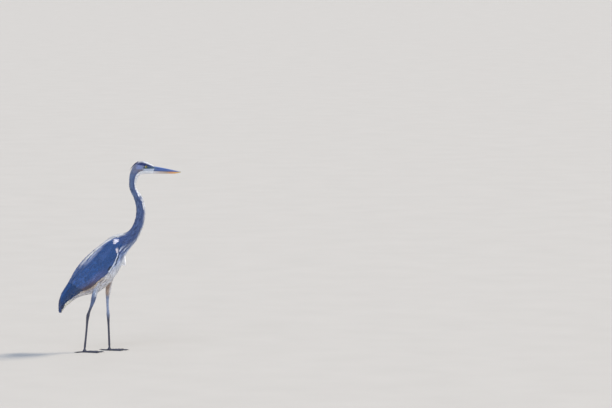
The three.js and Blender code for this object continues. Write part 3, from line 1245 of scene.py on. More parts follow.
@dataclass(frozen=True)
class ScaleFinish:
    """Horny scales of a bare leg: dry and leathery, darker in the grooves between the scales."""

    name: str = "horny leg scales"
    scale_size: float = 2.4
    """Width of the small scales in mm."""

    def material(self) -> bpy.types.Material:
        """Makes the finish from the leg's tint and a net of small scales.

        Returns:
            The material.
        """
        material, tree = blank_material(self.name)
        where = add(tree, "TexCoord").outputs["Object"]
        net = add(
            tree,
            "TexVoronoi",
            {"Vector": where, "Scale": 1 / (self.scale_size * MM)},
            feature="DISTANCE_TO_EDGE",
        )
        edges = {"From Min": 0.0, "From Max": 0.16, "To Min": 0.62, "To Max": 1.0}
        groove = add(tree, "MapRange", {"Value": net.outputs["Distance"], **edges}).outputs[0]
        dust = cloud(tree, 90.0, 4.0)
        shade = calc(tree, "MULTIPLY", groove, calc(tree, "MULTIPLY_ADD", dust, 0.6, 0.7))
        bump = add(tree, "Bump", {"Strength": 0.6, "Distance": 0.3 * MM, "Height": groove})
        close_surface(
            tree,
            {
                "Base Color": scaled(tree, stored(tree, "tint").outputs["Color"], shade),
                "Roughness": calc(tree, "MULTIPLY_ADD", dust, 0.25, 0.4),
                "Normal": bump.outputs[0],
            },
        )
        return material


@dataclass(frozen=True)
class HornFinish:
    """Horn of the bill: satin keratin, with fine lines along it and a colour that runs to the tip."""

    name: str
    stops: tuple[tuple[float, str], ...]
    roughness: float = 0.34
    ridge: str = "#8ea3c6"
    # Colour of the painted highlight along the ridge, where the sky is reflected.
    """Colour of the worn ridge."""
    hollow: str = "#18224a"
    # Colour of the painted shade in the nostril, its groove and along the mouth.
    """Colour in the nostril and along the mouth."""

    def material(self) -> bpy.types.Material:
        """Makes the finish from the bill's own lengthwise share and fine growth lines.

        Returns:
            The material.
        """
        material, tree = blank_material(self.name)
        parts = add(tree, "SeparateXYZ", {0: stored(tree, "tint").outputs["Vector"]})
        where = add(tree, "TexCoord").outputs["Object"]
        stretched = add(tree, "Mapping", {"Vector": where, "Scale": (60.0, 900.0, 900.0)})
        lines = cloud(tree, 1.0, 5.0, Vector=stretched.outputs[0])
        drift = calc(tree, "MULTIPLY_ADD", cloud(tree, 90.0, 2.0), 0.16, -0.08)
        ramp = add(tree, "ValToRGB", {0: calc(tree, "ADD", parts.outputs["X"], drift)})
        set_stops(ramp, self.stops)
        worn = scaled(tree, ramp.outputs[0], calc(tree, "MULTIPLY_ADD", lines, 0.5, 0.75))
        # Painted highlight along the ridge, where the piece's third stored value is high.
        lit = calc(tree, "MULTIPLY", parts.outputs["Z"], 0.55)
        ridge = add(tree, "Mix", {0: lit, 6: worn, 7: rgba(self.ridge)}, data_type="RGBA")
        hollow = {0: parts.outputs["Y"], 6: ridge.outputs[2], 7: rgba(self.hollow)}
        bump = add(tree, "Bump", {"Strength": 0.3, "Distance": 0.15 * MM, "Height": lines})
        close_surface(
            tree,
            {
                "Base Color": add(tree, "Mix", hollow, data_type="RGBA").outputs[2],
                "Roughness": self.roughness,
                "IOR": 1.54,
                "Normal": bump.outputs[0],
            },
        )
        return material


@dataclass(frozen=True)
class EyeFinish:
    """A wet eyeball: yellow iris with fine spokes, black pupil, all under a clear wet film."""

    name: str = "wet eyeball"
    pupil: float = 0.48
    """Radius of the pupil as a share of the eyeball's radius."""

    def material(self) -> bpy.types.Material:
        """Makes the finish from the distance to the eye's axis.

        Returns:
            The material.
        """
        material, tree = blank_material(self.name)
        share = stored(tree, "tint").outputs["Vector"]
        parts = add(tree, "SeparateXYZ", {0: share})
        ripple = calc(tree, "MULTIPLY_ADD", cloud(tree, 14.0, 4.0, Vector=share), 0.08, -0.04)
        ramp = add(tree, "ValToRGB", {0: calc(tree, "ADD", parts.outputs["X"], ripple)})
        set_stops(
            ramp,
            (
                (0.0, "#050505"),
                (self.pupil - 0.02, "#050505"),
                (self.pupil + 0.03, "#94843a"),
                (0.66, "#bfae58"),
                (0.8, "#9c9350"),
                (0.88, "#1c1a16"),
            ),
        )
        close_surface(
            tree,
            {
                "Base Color": ramp.outputs[0],
                "Roughness": 0.25,
                "Coat Weight": 1.0,
                "Coat Roughness": 0.02,
                "IOR": 1.38,
            },
        )
        return material


@dataclass(frozen=True)
class StudioFinish:
    """Painted studio floor: pale, even and matt."""

    name: str = "matt studio paint"
    colour: str = "#b6b4b0"

    def material(self) -> bpy.types.Material:
        """Makes the finish, with the faintest mottling.

        Returns:
            The material.
        """
        material, tree = blank_material(self.name)
        ramp = add(tree, "ValToRGB", {0: cloud(tree, 3.0, 3.0)})
        set_stops(ramp, ((0.3, self.colour), (0.7, "#b9b7b3")))
        close_surface(tree, {"Base Color": ramp.outputs[0], "Roughness": 0.85, "Specular IOR Level": 0.2})
        return material


# ---- The skin ----


RINGS = 260
"""How many rings the body is cut into to find its middle line."""
LINE_POINTS = 160
LINE_ROUNDS = 30
"""How many times the middle line is smoothed."""
JOINT_ROUNDS = 45
"""How many times the hollows between the toes are smoothed."""
SETTLE_ROUNDS = 2500
"""The most steps that a value is given to settle."""
SETTLED = 1e-9
"""How small its unrest has to be."""


@dataclass
class Skin:
    """One skin over head, neck, trunk, tail, folded wings and legs."""

    body_voxel: float = 3.2 * MM
    leg_voxel: float = 1.1 * MM
    gap_cover: float = 0.6 * MM
    scute: float = 5.2 * MM
    toe_scute: float = 3.8 * MM
    right_shank_shade: float = 46 * MM
    # How far the dark of the shin reaches up the right shank, as painted shade on the near leg.
    """How far the dark of the shin reaches up the right shank."""
    limb_coat: float = 3.2 * MM
    points: Array = field(init=False)
    quads: Array = field(init=False)
    torso: Surface = field(init=False)
    """The body without its thighs, for the feathers of the body and wings to lie on."""
    limbs: dict[str, Surface] = field(init=False)
    """Each thigh with its shank, for the thigh's feathers to run down on to the bare leg."""
    spine: Spine = field(init=False)

    def build(self) -> None:
        """Fuses the feathered flesh, finds the body's middle line and sinks the skin under the coat."""
        points, quads = fuse(TORSO_NODES, self.gap_cover, self.body_voxel, 5)
        self.spine = self.middle_line(points, quads)
        self.torso = Surface(self.sunk(points, quads), quads)
        points, quads = fuse(BODY_NODES, self.gap_cover, self.body_voxel, 5)
        self.points, self.quads = self.sunk(points, quads), quads
        self.limbs = {side: self.limb(side) for side in SIDES}
        LOG.info("skin of the body: %d quads", len(quads))

    def limb(self, side: str) -> Surface:
        """Fuses a thigh and its shank, sunk under a coat that thins to nothing on the shank.

        Args:
            side: Which leg.

        Returns:
            The surface that the thigh's feathers lie on.
        """
        points, quads = fuse((f"thigh_{side}", f"shank_{side}"), self.gap_cover, 2 * self.leg_voxel, 8)
        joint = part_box(f"shank_{side}")[1].z
        depth = 0.3 * MM + self.limb_coat * ease(joint, joint + 46 * MM, points[:, 2])
        return Surface(points - point_normals(points, quads) * depth[:, None], quads)

    def sunk(self, points: Array, quads: Array) -> Array:
        """Moves a surface in from the outline by the depth of the coat."""
        u, _ = self.spine.locate(points)
        return points - point_normals(points, quads) * self.coat_depth(u)[:, None]

    def coat_depth(self, u: Array) -> Array:
        """How far the skin lies inside the outline, by distance along the body."""
        depths = np.array([0.6, 1.8, 2.6, 3.6, 5, 4.4, 3.5]) * MM
        return np.interp(u / self.spine.length, [0, 0.03, 0.1, 0.2, 0.5, 0.9, 1], depths)

    @staticmethod
    def middle_line(points: Array, quads: Array) -> Spine:
        """Finds the middle line from the bill's root to the tail's end.

        A value is let flow over the surface from 0 at the face to 1 at the tail. The places
        with one value make a ring round the body, and the rings' middles make the line.

        Args:
            points: The body's surface.
            quads: Its faces.

        Returns:
            The line.
        """
        first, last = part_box("head")[1].x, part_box("tail")[0]
        face = points[:, 0] > first - 3 * MM
        end = points[:, 2] < last.z + 6 * MM
        flow = settle(points, quads, face, end)
        order = np.argsort(flow)
        middles = np.array([points[part].mean(0) for part in np.array_split(order, RINGS)])
        middles[:, 1] = 0
        start = np.array([first, 0, points[face][:, 2].mean()])
        finish = points[end].mean(0) * [1, 0, 1]
        line = np.concatenate([[start], middles[2:-2], [finish]])
        reach = np.concatenate([[0], np.cumsum(np.linalg.norm(np.diff(line, axis=0), axis=1))])
        even = np.linspace(0, reach[-1], LINE_POINTS)
        line = np.stack([np.interp(even, reach, line[:, i]) for i in range(3)], axis=1)
        for _ in range(LINE_ROUNDS):
            line[1:-1] = 0.5 * line[1:-1] + 0.25 * (line[:-2] + line[2:])
        return Spine(line)

    def legs(self) -> tuple[Array, Array, Array]:
        """Makes the bare legs, with scutes down the front and over the toes.

        Returns:
            Their points, quads and colours.
        """
        points, quads = fuse(LEG_NODES, self.gap_cover / 2, self.leg_voxel, 6)
        points = self.eased_joints(points, quads)
        normals = point_normals(points, quads)
        relief, seam = np.zeros(len(points)), np.zeros(len(points))
        colours = plain("#3f4150", len(points))
        for side, sign in SIDES.items():
            mine = points[:, 1] * sign > 0
            shin_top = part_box(f"tarsus_{side}")[1].z
            _, foot_high, centre = node_box(f"foot_{side}")
            height = points[:, 2]
            front = ease(-0.1, 0.6, normals[:, 0])
            shin = mine & (height > foot_high[2])
            band = np.modf(height / self.scute)[0]
            relief += np.where(shin, 0.5 * MM * front * np.sqrt(1 - band) - 0.2 * MM, 0)
            seam += shin * front * ease(0.7, 0.95, band)
            away = np.linalg.norm((points - centre)[:, :2], axis=1)
            toe = mine & (height <= foot_high[2]) & (normals[:, 2] > -0.2)
            band = np.modf(away / self.toe_scute)[0]
            upper = ease(0.0, 0.7, normals[:, 2])
            relief += np.where(toe, 0.4 * MM * upper * np.sqrt(1 - band), 0)
            seam += toe * upper * ease(0.65, 0.9, band)
            # On the near leg the dark reaches higher and the pale above it is darker: painted shade.
            bare = shin_top + (self.right_shank_shade if sign < 0 else 0)
            pale = ease(bare - 30 * MM, bare + 24 * MM, height) * mine
            colours = blend(colours, linear(Markings.shaded_near_shank if sign < 0 else Markings.shank), pale)
        rough = grain(points, 2.4 * MM, 3) - 0.5
        relief += 0.16 * MM * rough
        points = points + normals * relief[:, None]
        points[:, 2] = np.maximum(points[:, 2], 0.05 * MM)
        return points, quads, colours * (1 + 0.3 * rough - 0.45 * seam)[:, None]

    @staticmethod
    def eased_joints(points: Array, quads: Array) -> Array:
        """Rounds off the hollows where the toes meet the shin, as webs and tendons do.

        Args:
            points: The legs' points.
            quads: Their faces.

        Returns:
            The points, moved.
        """
        edges = quad_edges(quads)
        near = np.zeros(len(points))
        for side in SIDES:
            away = np.linalg.norm(points - node_box(f"foot_{side}")[2], axis=1)
            near = np.maximum(near, ease(24 * MM, 10 * MM, away))
        for _ in range(JOINT_ROUNDS):
            points = points + 0.6 * near[:, None] * (neighbour_mean(points, edges) - points)
        return points

    def lids(self) -> tuple[Array, Array]:
        """Makes the rims of the eyelids.

        Returns:
            Their points and quads.
        """
        points, quads, sides, rings = [], [], 10, 36
        for side, sign in SIDES.items():
            low, high, centre = node_box(f"eye_{side}")
            radius = (high[0] - low[0]) / 2
            turn = np.linspace(0, TURN, rings, endpoint=False)
            rim = np.stack([0.86 * np.cos(turn), 0 * turn + 0.56 * sign, 0.78 * np.sin(turn)], axis=1)
            rim = radius * rim
            out = unit(rim)
            angle = np.linspace(0, TURN, sides, endpoint=False)[:, None]
            for i in range(rings):
                along = unit(np.cross(out[i], [0, sign, 0]))
                over = np.cross(along, out[i])
                section = np.cos(angle) * out[i] * 0.7 * MM + np.sin(angle) * over * 1.1 * MM
                points.append(centre + rim[i] * 1.01 + section)
            faces = tube_faces(rings + 1, sides) % (rings * sides)
            quads.append(faces + len(quads) * rings * sides)
        return np.concatenate(points), np.concatenate(quads)

    def piece(self, markings: Markings) -> bpy.types.Object:
        """Joins body, legs and eyelids as the one skin and dresses it.

        Args:
            markings: The bird's colours.

        Returns:
            The skin.
        """
        u, theta = self.spine.locate(self.points)
        body_tint = markings.colours(u, theta, self.points)
        for side, sign in SIDES.items():
            low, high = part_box(f"thigh_{side}")
            near = (self.points[:, 1] * sign > 12 * MM) & (self.points[:, 2] < low.z + 60 * MM)
            near &= (self.points[:, 0] > low.x - 6 * MM) & (self.points[:, 0] < high.x + 6 * MM)
            body_tint[near] = markings.thigh(self.points[near], sign)
        leg_points, leg_quads, leg_tint = self.legs()
        lid_points, lid_quads = self.lids()
        lid_tint = plain("#6d7f78", len(lid_points))
        parts = ((self.points, self.quads), (leg_points, leg_quads), (lid_points, lid_quads))
        shift, faces = 0, []
        for points, quads in parts:
            faces.append(quads + shift)
            shift += len(points)
        skin = mesh_object("skin", np.concatenate([p for p, _ in parts]), np.concatenate(faces))
        paint(skin, "tint", np.concatenate([body_tint, leg_tint, lid_tint]))
        skin.data.materials.append(DownFinish().material())
        skin.data.materials.append(ScaleFinish().material())
        numbers = np.concatenate([np.full(len(q), i) for (_, q), i in zip(parts, (0, 1, 1))])
        skin.data.polygons.foreach_set("material_index", numbers.astype(np.int32))
        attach(skin, "root")
        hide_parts(*BODY_NODES, *LEG_NODES)
        LOG.info("skin: %d quads", len(skin.data.polygons))
        return skin


def settle(points: Array, quads: Array, low: Array, high: Array) -> Array:
    """Lets a value settle over a surface between two held ends.

    Args:
        points: The surface's points.
        quads: Its faces.
        low: Which points are held at 0.
        high: Which are held at 1.

    Returns:
        The value at each point.
    """
    edges = quad_edges(quads)
    free = ~(low | high)
    degree = np.bincount(edges[:, 0], minlength=len(points)).astype(float)

    def stiffness(values: Array) -> Array:
        """Works out each point's pull against its neighbours."""
        around = np.bincount(edges[:, 0], values[edges[:, 1]], minlength=len(points))
        return np.where(free, degree * values - around, 0)

    value = high.astype(float)
    residual = -stiffness(value)
    search, old = residual.copy(), float(residual @ residual)
    for _ in range(SETTLE_ROUNDS):
        pulled = stiffness(search)
        step = old / float(search @ pulled)
        value += step * search
        residual -= step * pulled
        new = float(residual @ residual)
        if new < SETTLED:
            break
        search = residual + new / old * search
        old = new
    return value


# ---- Plumage ----


class WingColours(Enum):
    """Colours of a folded wing."""

    SLATE = "#2c5086"
    # Paler slate: streaks of paler feathers, and painted light over the top of the wing.
    LIGHT = "#4a669c"
    SCAPULAR = "#b4bad0"
    # Painted sunlit rim along the top edge of the scapulars.
    SUNLIT_RIM = "#e4e0d8"
    QUILL = "#2b3d62"
    STRIPE = "#25324e"
    MAUVE = "#68698d"
    BROWN = "#54474f"
    EDGE = "#dfe5ef"
    BEND = "#e6dfe6"


@dataclass
class WingMap:
    """Where one folded wing lies round the body: a runs from its bend to its tip, b from top to bottom."""

    spine: Spine
    side: str
    forward: float = 0.06
    """How far its front feathers lie over the flank, as an angle."""
    raised: float = 0.17
    """How far its lower edge is drawn up over the thigh, as an angle."""
    start: float = field(init=False)
    end: float = field(init=False)
    edges: Array = field(init=False)

    def __post_init__(self) -> None:
        """Reads the wing's edges from its solids."""
        points = np.concatenate([node_samples(f"{part}_{self.side}") for part in ("wing", "primaries")])
        u, theta = self.spine.locate(points)
        theta = np.abs(theta)
        self.start, self.end = float(u.min()), float(u.max())
        rows = []
        for a in np.linspace(0.04, 0.96, 24):
            middle = self.start + a * (self.end - self.start)
            near = np.abs(u - middle) < 16 * MM
            rows.append((a, theta[near].min(), theta[near].max()))
        self.edges = np.array(rows)
        a = self.edges[:, 0]
        self.edges[:, 2] += self.forward * ease(0.02, 0.14, a) * ease(0.5, 0.36, a)
        self.edges[:, 2] -= self.raised * ease(0.34, 0.5, a) * ease(0.88, 0.72, a)

    def angles(self, a: Array, b: Array) -> Array:
        """Finds the angles round the body for places on the wing.

        Args:
            a: Where each is along the wing.
            b: Where it is from top to bottom.

        Returns:
            The angles, without a sign.
        """
        upper = np.interp(a, self.edges[:, 0], self.edges[:, 1])
        lower = np.interp(a, self.edges[:, 0], self.edges[:, 2])
        return upper + (lower - upper) * b

    def distance(self, a: Array) -> Array:
        """Distances along the body for places on the wing."""
        return self.start + a * (self.end - self.start)

    def covers(self, u: Array, theta: Array, margin: float) -> Array:
        """Tells which places lie under the wing.

        Args:
            u: Distances along the body.
            theta: Angles round it.
            margin: How far inside the wing's edge they must be.

        Returns:
            True for each place that does.
        """
        theta = theta * SIDES[self.side]
        a = (u - self.start) / (self.end - self.start)
        turn = margin / (50 * MM)
        upper, lower = self.angles(a, np.zeros(len(u))), self.angles(a, np.ones(len(u)))
        inside = (theta > upper + turn) & (theta < lower - turn)
        return inside & (u > self.start + margin) & (u < self.end - margin)


@dataclass
class Coat:
    """All the feathers, tract by tract."""

    skin: Skin
    markings: Markings
    primaries: int = 9
    secondaries: int = 18
    """The secondaries and the tertials above them."""
    rng: np.random.Generator = field(default_factory=lambda: np.random.default_rng(SEED))
    wings: dict[str, WingMap] = field(init=False)
    tract: Tract = field(init=False)

    def __post_init__(self) -> None:
        """Maps the wings and readies the body's tract."""
        self.wings = {side: WingMap(self.skin.spine, side) for side in SIDES}
        self.tract = Tract(self.skin.torso, self.skin.spine, self.rng)

    def vary(self, tint: Array, amount: float) -> Array:
        """Makes each feather a little lighter or darker than the markings."""
        return tint * (1 + self.rng.normal(0, amount, len(tint)))[:, None]

    def size(self, u: Array | float, values: Sequence[float]) -> Array | float:
        """A feather size in metres along the body.

        Args:
            u: Distances along it.
            values: Sizes in mm at the face, crown, nape, mid neck, foot of the neck, breast, belly,
                vent and tail.

        Returns:
            The size at each distance.
        """
        m = self.markings
        front = [0, 0.5 * m.nape, m.nape, m.throat + 0.12, m.shoulder]
        rear = [m.shoulder + 0.12, m.vent - 0.08, m.vent, self.skin.spine.length]
        return np.interp(u, front + rear, np.array(values) * MM)

    def body(self) -> None:
        """Grows the contour feathers of head, neck and trunk."""
        spine, m = self.skin.spine, self.markings
        eyes = [node_box(f"eye_{side}")[2] for side in SIDES]

        def spacing(u: float) -> float:
            """Tells how far apart feathers are at a distance along the body."""
            return float(self.size(u, (2.6, 3.3, 4.2, 5.0, 7.0, 9.5, 11, 10, 9)))

        def keep(u: Array, theta: Array, places: Array) -> Array:
            """Keeps roots off the eyes, the lores and what the wings cover.

            Args:
                u: Distances along the body.
                theta: Angles round it.
                places: The places themselves.

            Returns:
                True for each root that stays.
            """
            bare = np.zeros(len(u), bool)
            for eye in eyes:
                ahead, aside, above = (places - eye).T
                bare |= (np.hypot(ahead, above) < 8.2 * MM) & (np.abs(aside) < 14 * MM)
                lore = (ahead > 0) & (ahead < 30 * MM) & (np.abs(above + 2 * MM) < 5 * MM)
                bare |= lore & (np.abs(places[:, 1]) > 6 * MM)
            for wing in self.wings.values():
                bare |= wing.covers(u, theta, 3 * MM)
            return ~bare

        u, theta, places, faces = self.tract.roots(spacing, 2 * MM, spine.length - 8 * MM, keep)
        length = self.size(u, (6.5, 9, 14, 21, 28, 38, 44, 40, 36)) * self.rng.uniform(0.85, 1.15, len(u))
        for eye in eyes:
            ahead = places[:, 0] - eye[0]
            close = (np.abs(places - eye)[:, 2] < 9 * MM) & (places[:, 1] * eye[1] > 0) & (ahead > 0)
            length = np.where(close, np.minimum(length, np.maximum(ahead - 5.5 * MM, 3 * MM)), length)
        length = np.clip(spine.length - u, 7 * MM, length)
        width = self.size(u, (1.4, 1.7, 2.2, 2.6, 3.6, 6, 8, 8, 7)) * self.rng.uniform(0.85, 1.15, len(u))
        tip = self.skin.coat_depth(u) * self.rng.uniform(0.75, 1.1, len(u))
        splay = self.rng.normal(0, 0.07, len(u))
        groups = {
            "coat_head": (u < m.nape, HAIRY, "head_plumage"),
            "coat_neck": ((u >= m.nape) & (u < m.shoulder - 20 * MM), HAIRY, "neck_plumage"),
            "coat_trunk": (u >= m.shoulder - 20 * MM, CONTOUR, "body_plumage"),
        }
        for name, (mine, shape, slot) in groups.items():
            batch = (u[mine], theta[mine], places[mine], faces[mine], length[mine])
            coat = Feathers()
            self.contour(coat, batch, width[mine], tip[mine], splay[mine], shape)
            if name == "coat_trunk":
                self.breast(coat)
            coat.piece(name, VaneFinish(f"contour feathers of {name[5:]}").material(), slot)

    def contour(
        self,
        coat: Feathers,
        batch: tuple[Array, ...],
        width: Array,
        tip: Array,
        splay: Array,
        shape: FeatherShape,
    ) -> None:
        """Grows feathers from given roots on the body.

        Args:
            coat: Where they are gathered.
            batch: The roots' distances, angles, places and faces, and the feathers' lengths.
            width: Half of each feather's width.
            tip: How high each tip stands.
            splay: The angle of each from the lie of the coat.
            shape: Their shape.
        """
        u, theta, places, faces, length = batch
        paths, normals = self.tract.lay(u, places, faces, length, shape.stations(), splay)
        along, round_body = self.skin.spine.locate(paths.reshape(-1, 3))
        tucked = np.zeros(len(along), bool)
        for wing in self.wings.values():
            tucked |= wing.covers(along, round_body, -2.5 * MM)
        tucked = tucked.reshape(paths.shape[:2])
        seen = u + 0.6 * length
        tint = self.vary(self.markings.colours(seen, theta, paths[:, shape.segments // 2 + 1]), 0.06)
        coat.grow(
            lifted(paths, normals, shape, -0.8 * MM, tip, tucked),
            normals,
            width,
            shape,
            tint * 0.95,
            tint * 1.1,
            BODY_PLOT.spot(u, theta, self.skin.spine.length),
            self.rng.normal(0, 0.08, len(u)),
        )

    def breast(self, coat: Feathers) -> None:
        """Grows the long narrow plumes of the breast over its contour feathers.

        Args:
            coat: Where they are gathered.
        """
        m = self.markings

        start, end = m.shoulder - 50 * MM, m.shoulder + 120 * MM
        u, theta, places, faces = self.tract.roots(
            lambda _: 6.0 * MM, start, end, lambda _, theta, *__: np.abs(theta) > 0.56 * math.pi
        )
        number = len(u)
        length = self.rng.uniform(38, 58, number) * MM
        tip = self.rng.uniform(4.5, 7.0, number) * MM
        width = self.rng.uniform(1.8, 2.8, number) * MM
        splay = self.rng.normal(0, 0.05, number)
        self.contour(coat, (u, theta, places, faces, length), width, tip, splay, LANCE)

    def run(
        self,
        side: str,
        a: Array,
        b: Array,
        length: Array,
        shape: FeatherShape,
        drift: Array,
    ) -> tuple[Array, Array]:
        """Runs shafts along a folded wing, closing together towards its tip.

        Args:
            side: Which wing.
            a: Where each root is along the wing.
            b: Where it is from top to bottom.
            length: The feathers' lengths.
            shape: Their shape.
            drift: How far b changes from root to tip.

        Returns:
            The shafts, on the surface, and the normals there.
        """
        wing, sign = self.wings[side], SIDES[side]
        span = wing.end - wing.start
        paths, normals = [], []
        for share in shape.stations():
            here = a + share * length / span
            inside = np.clip(here, 0, 0.975)
            u = wing.distance(inside)
            theta = sign * wing.angles(inside, np.clip(b + drift * share, -0.06, 1.1))
            places, faces = self.tract.project(u, theta)
            _, along, _, _ = self.skin.spine.frame(u)
            places = places + along * ((here - inside) * span)[:, None]
            paths.append(places)
            normals.append(self.skin.torso.normals[faces])
        return np.stack(paths, axis=1), np.stack(normals, axis=1)

    def wing(self, side: str) -> None:
        """Grows one folded wing: flight feathers, rows of coverts over them, then the scapulars.

        Args:
            side: Which wing.
        """
        coat, quills = Feathers(), Feathers()
        self.flight(side, quills)
        self.coverts(side, coat)
        self.front_edge(side, coat)
        self.scapulars(side, coat)
        coat.piece(f"coat_wing_{side}", VaneFinish(f"wing coverts, {side}").material(), "wing_coverts")
        finish = VaneFinish(f"flight feathers, {side}", roughness=0.5, contrast=0.12)
        quills.piece(f"flight_feathers_{side}", finish.material(), "flight_feathers")

    def row(
        self,
        side: str,
        target: Feathers,
        a: Array,
        b: Array,
        length: Array,
        half: Array | float,
        shape: FeatherShape,
        tip: Array | float,
        tint: Array,
        edge: float,
        drift: Array | float = 0.0,
        roll: float = 0.05,
        root: float = -0.8 * MM,
    ) -> None:
        """Grows some feathers on a folded wing.

        Args:
            side: Which wing.
            target: Where they are gathered.
            a: Where each root is along the wing.
            b: Where it is from top to bottom.
            length: The feathers' lengths.
            half: Half of their width.
            shape: Their shape.
            tip: How high their tips stand.
            tint: Their colours.
            edge: How much brighter their edges are.
            drift: How far b changes from root to tip.
            roll: How far the upper edge of each lies over the lower edge of the next.
            root: How high their roots stand.
        """
        wing, sign, number = self.wings[side], SIDES[side], len(a)
        paths, normals = self.run(side, a, b, length, shape, np.broadcast_to(drift, (number,)))
        target.grow(
            lifted(paths, normals, shape, root, tip),
            normals,
            np.broadcast_to(half, (number,)),
            shape,
            tint,
            tint * edge,
            BODY_PLOT.spot(wing.distance(a), sign * wing.angles(a, b), self.skin.spine.length),
            np.full(number, roll * sign),
        )

    def flight(self, side: str, quills: Feathers) -> None:
        """Grows the primaries along the wing's lower edge, and the secondaries and tertials above them.

        Args:
            side: Which wing.
            quills: Where they are gathered.
        """
        wing = self.wings[side]
        span = wing.end - wing.start
        order = np.linspace(0, 1, self.primaries)
        a, b = 0.5 + 0.08 * order, 1.0 - 0.3 * order
        length = (1.0 - a - 0.03 * order) * span
        tint = plain(WingColours.QUILL.value, self.primaries)
        tip = (0.8 + 1.6 * order) * MM
        self.row(side, quills, a, b, length, 10 * MM, FLIGHT, tip, tint, 1.15, -0.1 * order, -0.05)
        order = np.linspace(0, 1, self.secondaries)
        a, b = 0.46 - 0.06 * order, 0.97 - 0.97 * order
        length = np.minimum((0.42 + 0.1 * np.sin(order * math.pi)) * span, (0.97 - a) * span)
        tint = plain(WingColours.QUILL.value, self.secondaries)
        tint = self.vary(layered(tint, (WingColours.SLATE.value, ease(0.0, 0.22, order))), 0.04)
        tip = (2.6 + 3.4 * order) * MM
        self.row(side, quills, a, b, length, 12 * MM, FLIGHT, tip, tint, 1.12, 0.02 * order, -0.05)

    def coverts(self, side: str, coat: Feathers) -> None:
        """Grows the coverts in offset rows, larger towards the rear.

        Args:
            side: Which wing.
            coat: Where they are gathered.
        """
        rng, wing = self.rng, self.wings[side]
        span = wing.end - wing.start
        a_row, row = 0.56, 0
        while a_row > 0.0:
            grade = a_row / 0.6
            base = 2.8 * MM * float(ease(0.28, 0.5, a_row))
            half = (3.6 + 7.0 * grade) * MM
            top, bottom = wing.angles(np.full(2, a_row), np.array([0.0, 1.0]))
            count = max(5, int((bottom - top) * 62 * MM / (half * 1.05)))
            b = (np.arange(count) + 0.5 * (row % 2) + rng.normal(0, 0.06, count)) / count
            a = a_row + rng.normal(0, 0.003, count) - 0.1 * (b - 0.5) * grade
            length = (18 + 56 * grade) * MM * rng.uniform(0.9, 1.1, count)
            kept = (a > 0.005) & (b < 1.01)
            a, b, length = a[kept], b[kept], length[kept]
            tint = layered(
                plain(WingColours.SLATE.value, len(a)),
                # Painted light: the top of the wing paler, as if lit from above.
                (WingColours.LIGHT.value, ease(0.3, 0.0, b) * 0.8),
                (WingColours.LIGHT.value, ease(0.45, 0.75, streaks(a * span, b * 62 * MM, 46, 8, 91)) * 0.4),
                (WingColours.MAUVE.value, ease(0.62, 0.86, b) * ease(0.2, 0.34, a) * 0.45),
                (WingColours.BROWN.value, ease(0.8, 0.92, b) * ease(0.34, 0.46, a) * 0.9),
                (WingColours.BEND.value, self.bend_spots(side, a + 0.6 * length / span, b)),
            )
            tint = self.vary(tint, 0.08)
            tip = base + (2.6 + 1.0 * grade) * MM
            self.row(side, coat, a, b, length, half, COVERT, tip, tint, 1.1, root=base - 0.8 * MM)
            a_row -= (2.8 + 6.0 * grade) * MM / span
            row += 1

    def bend_spots(self, side: str, a: Array, b: Array) -> Array:
        """The two pale spots at the wing's bend.

        Args:
            side: Which wing.
            a: Where each place is along the wing.
            b: Where it is from top to bottom.

        Returns:
            How pale each place is, from 0 to 1.
        """
        wing = self.wings[side]
        places, _ = self.tract.project(wing.distance(a), SIDES[side] * wing.angles(a, b))
        _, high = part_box(f"wing_{side}")
        ahead, below = places[:, 0] - high.x + 25 * MM, places[:, 2] - high.z + 14 * MM
        round_spot = np.hypot(ahead / (9.5 * MM), below / (11.5 * MM))
        ahead, below = places[:, 0] - high.x + 18 * MM, places[:, 2] - high.z + 55 * MM
        long_spot = np.hypot(ahead / (7 * MM), below / (15 * MM))
        return np.maximum(ease(1.0, 0.75, round_spot), ease(1.0, 0.7, long_spot))

    def front_edge(self, side: str, coat: Feathers) -> None:
        """Grows the white line of small feathers down the wing's front edge, and the dark stripe before it.

        Args:
            side: Which wing.
            coat: Where they are gathered.
        """
        for colour, low, high, b, half in (
            (WingColours.STRIPE, 0.12, 0.21, 1.06, 2.8 * MM),
            (WingColours.STRIPE, 0.25, 0.3, 0.92, 3.4 * MM),
            (WingColours.EDGE, 0.1, 0.3, 1.0, 2.8 * MM),
        ):
            a = np.arange(low, high, 0.009)
            number = len(a)
            a = a + self.rng.normal(0, 0.002, number)
            length = self.rng.uniform(17, 25, number) * MM
            tint = self.vary(plain(colour.value, number), 0.05)
            b_all = b + self.rng.normal(0, 0.012, number)
            height = 7.0 * MM if b > 1.05 else 5.4 * MM
            self.row(side, coat, a, b_all, length, half, COVERT, height, tint, 1.05)

    def scapulars(self, side: str, coat: Feathers) -> None:
        """Grows the long narrow scapulars over the top of the wing, in rows.

        Args:
            side: Which wing.
            coat: Where they are gathered.
        """
        rng, wing = self.rng, self.wings[side]
        span = wing.end - wing.start
        for row, a_row in enumerate(np.arange(0.44, -0.03, -0.03)):
            b = (np.arange(8) + 0.5 * (row % 2) + rng.normal(0, 0.12, 8)) / 8 * 0.3 - 0.05
            a = np.full(8, a_row) + rng.normal(0, 0.008, 8)
            length = rng.uniform(0.15, 0.2, 8) * span
            share = ease(0.3, 0.1, b) * ease(0.5, 0.16, a) * rng.choice([0.15, 0.7, 1.0], 8)
            tint = layered(
                plain(WingColours.SLATE.value, 8),
                (WingColours.SCAPULAR.value, share),
                # Painted sunlit rim on the top of the front scapulars.
                (WingColours.SUNLIT_RIM.value, ease(0.12, 0.04, b) * ease(0.42, 0.22, a)),
            )
            tint = self.vary(tint, 0.05)
            self.row(side, coat, a, b, length, 5.0 * MM, LANCE, 5.5 * MM, tint, 1.15, 0.03)

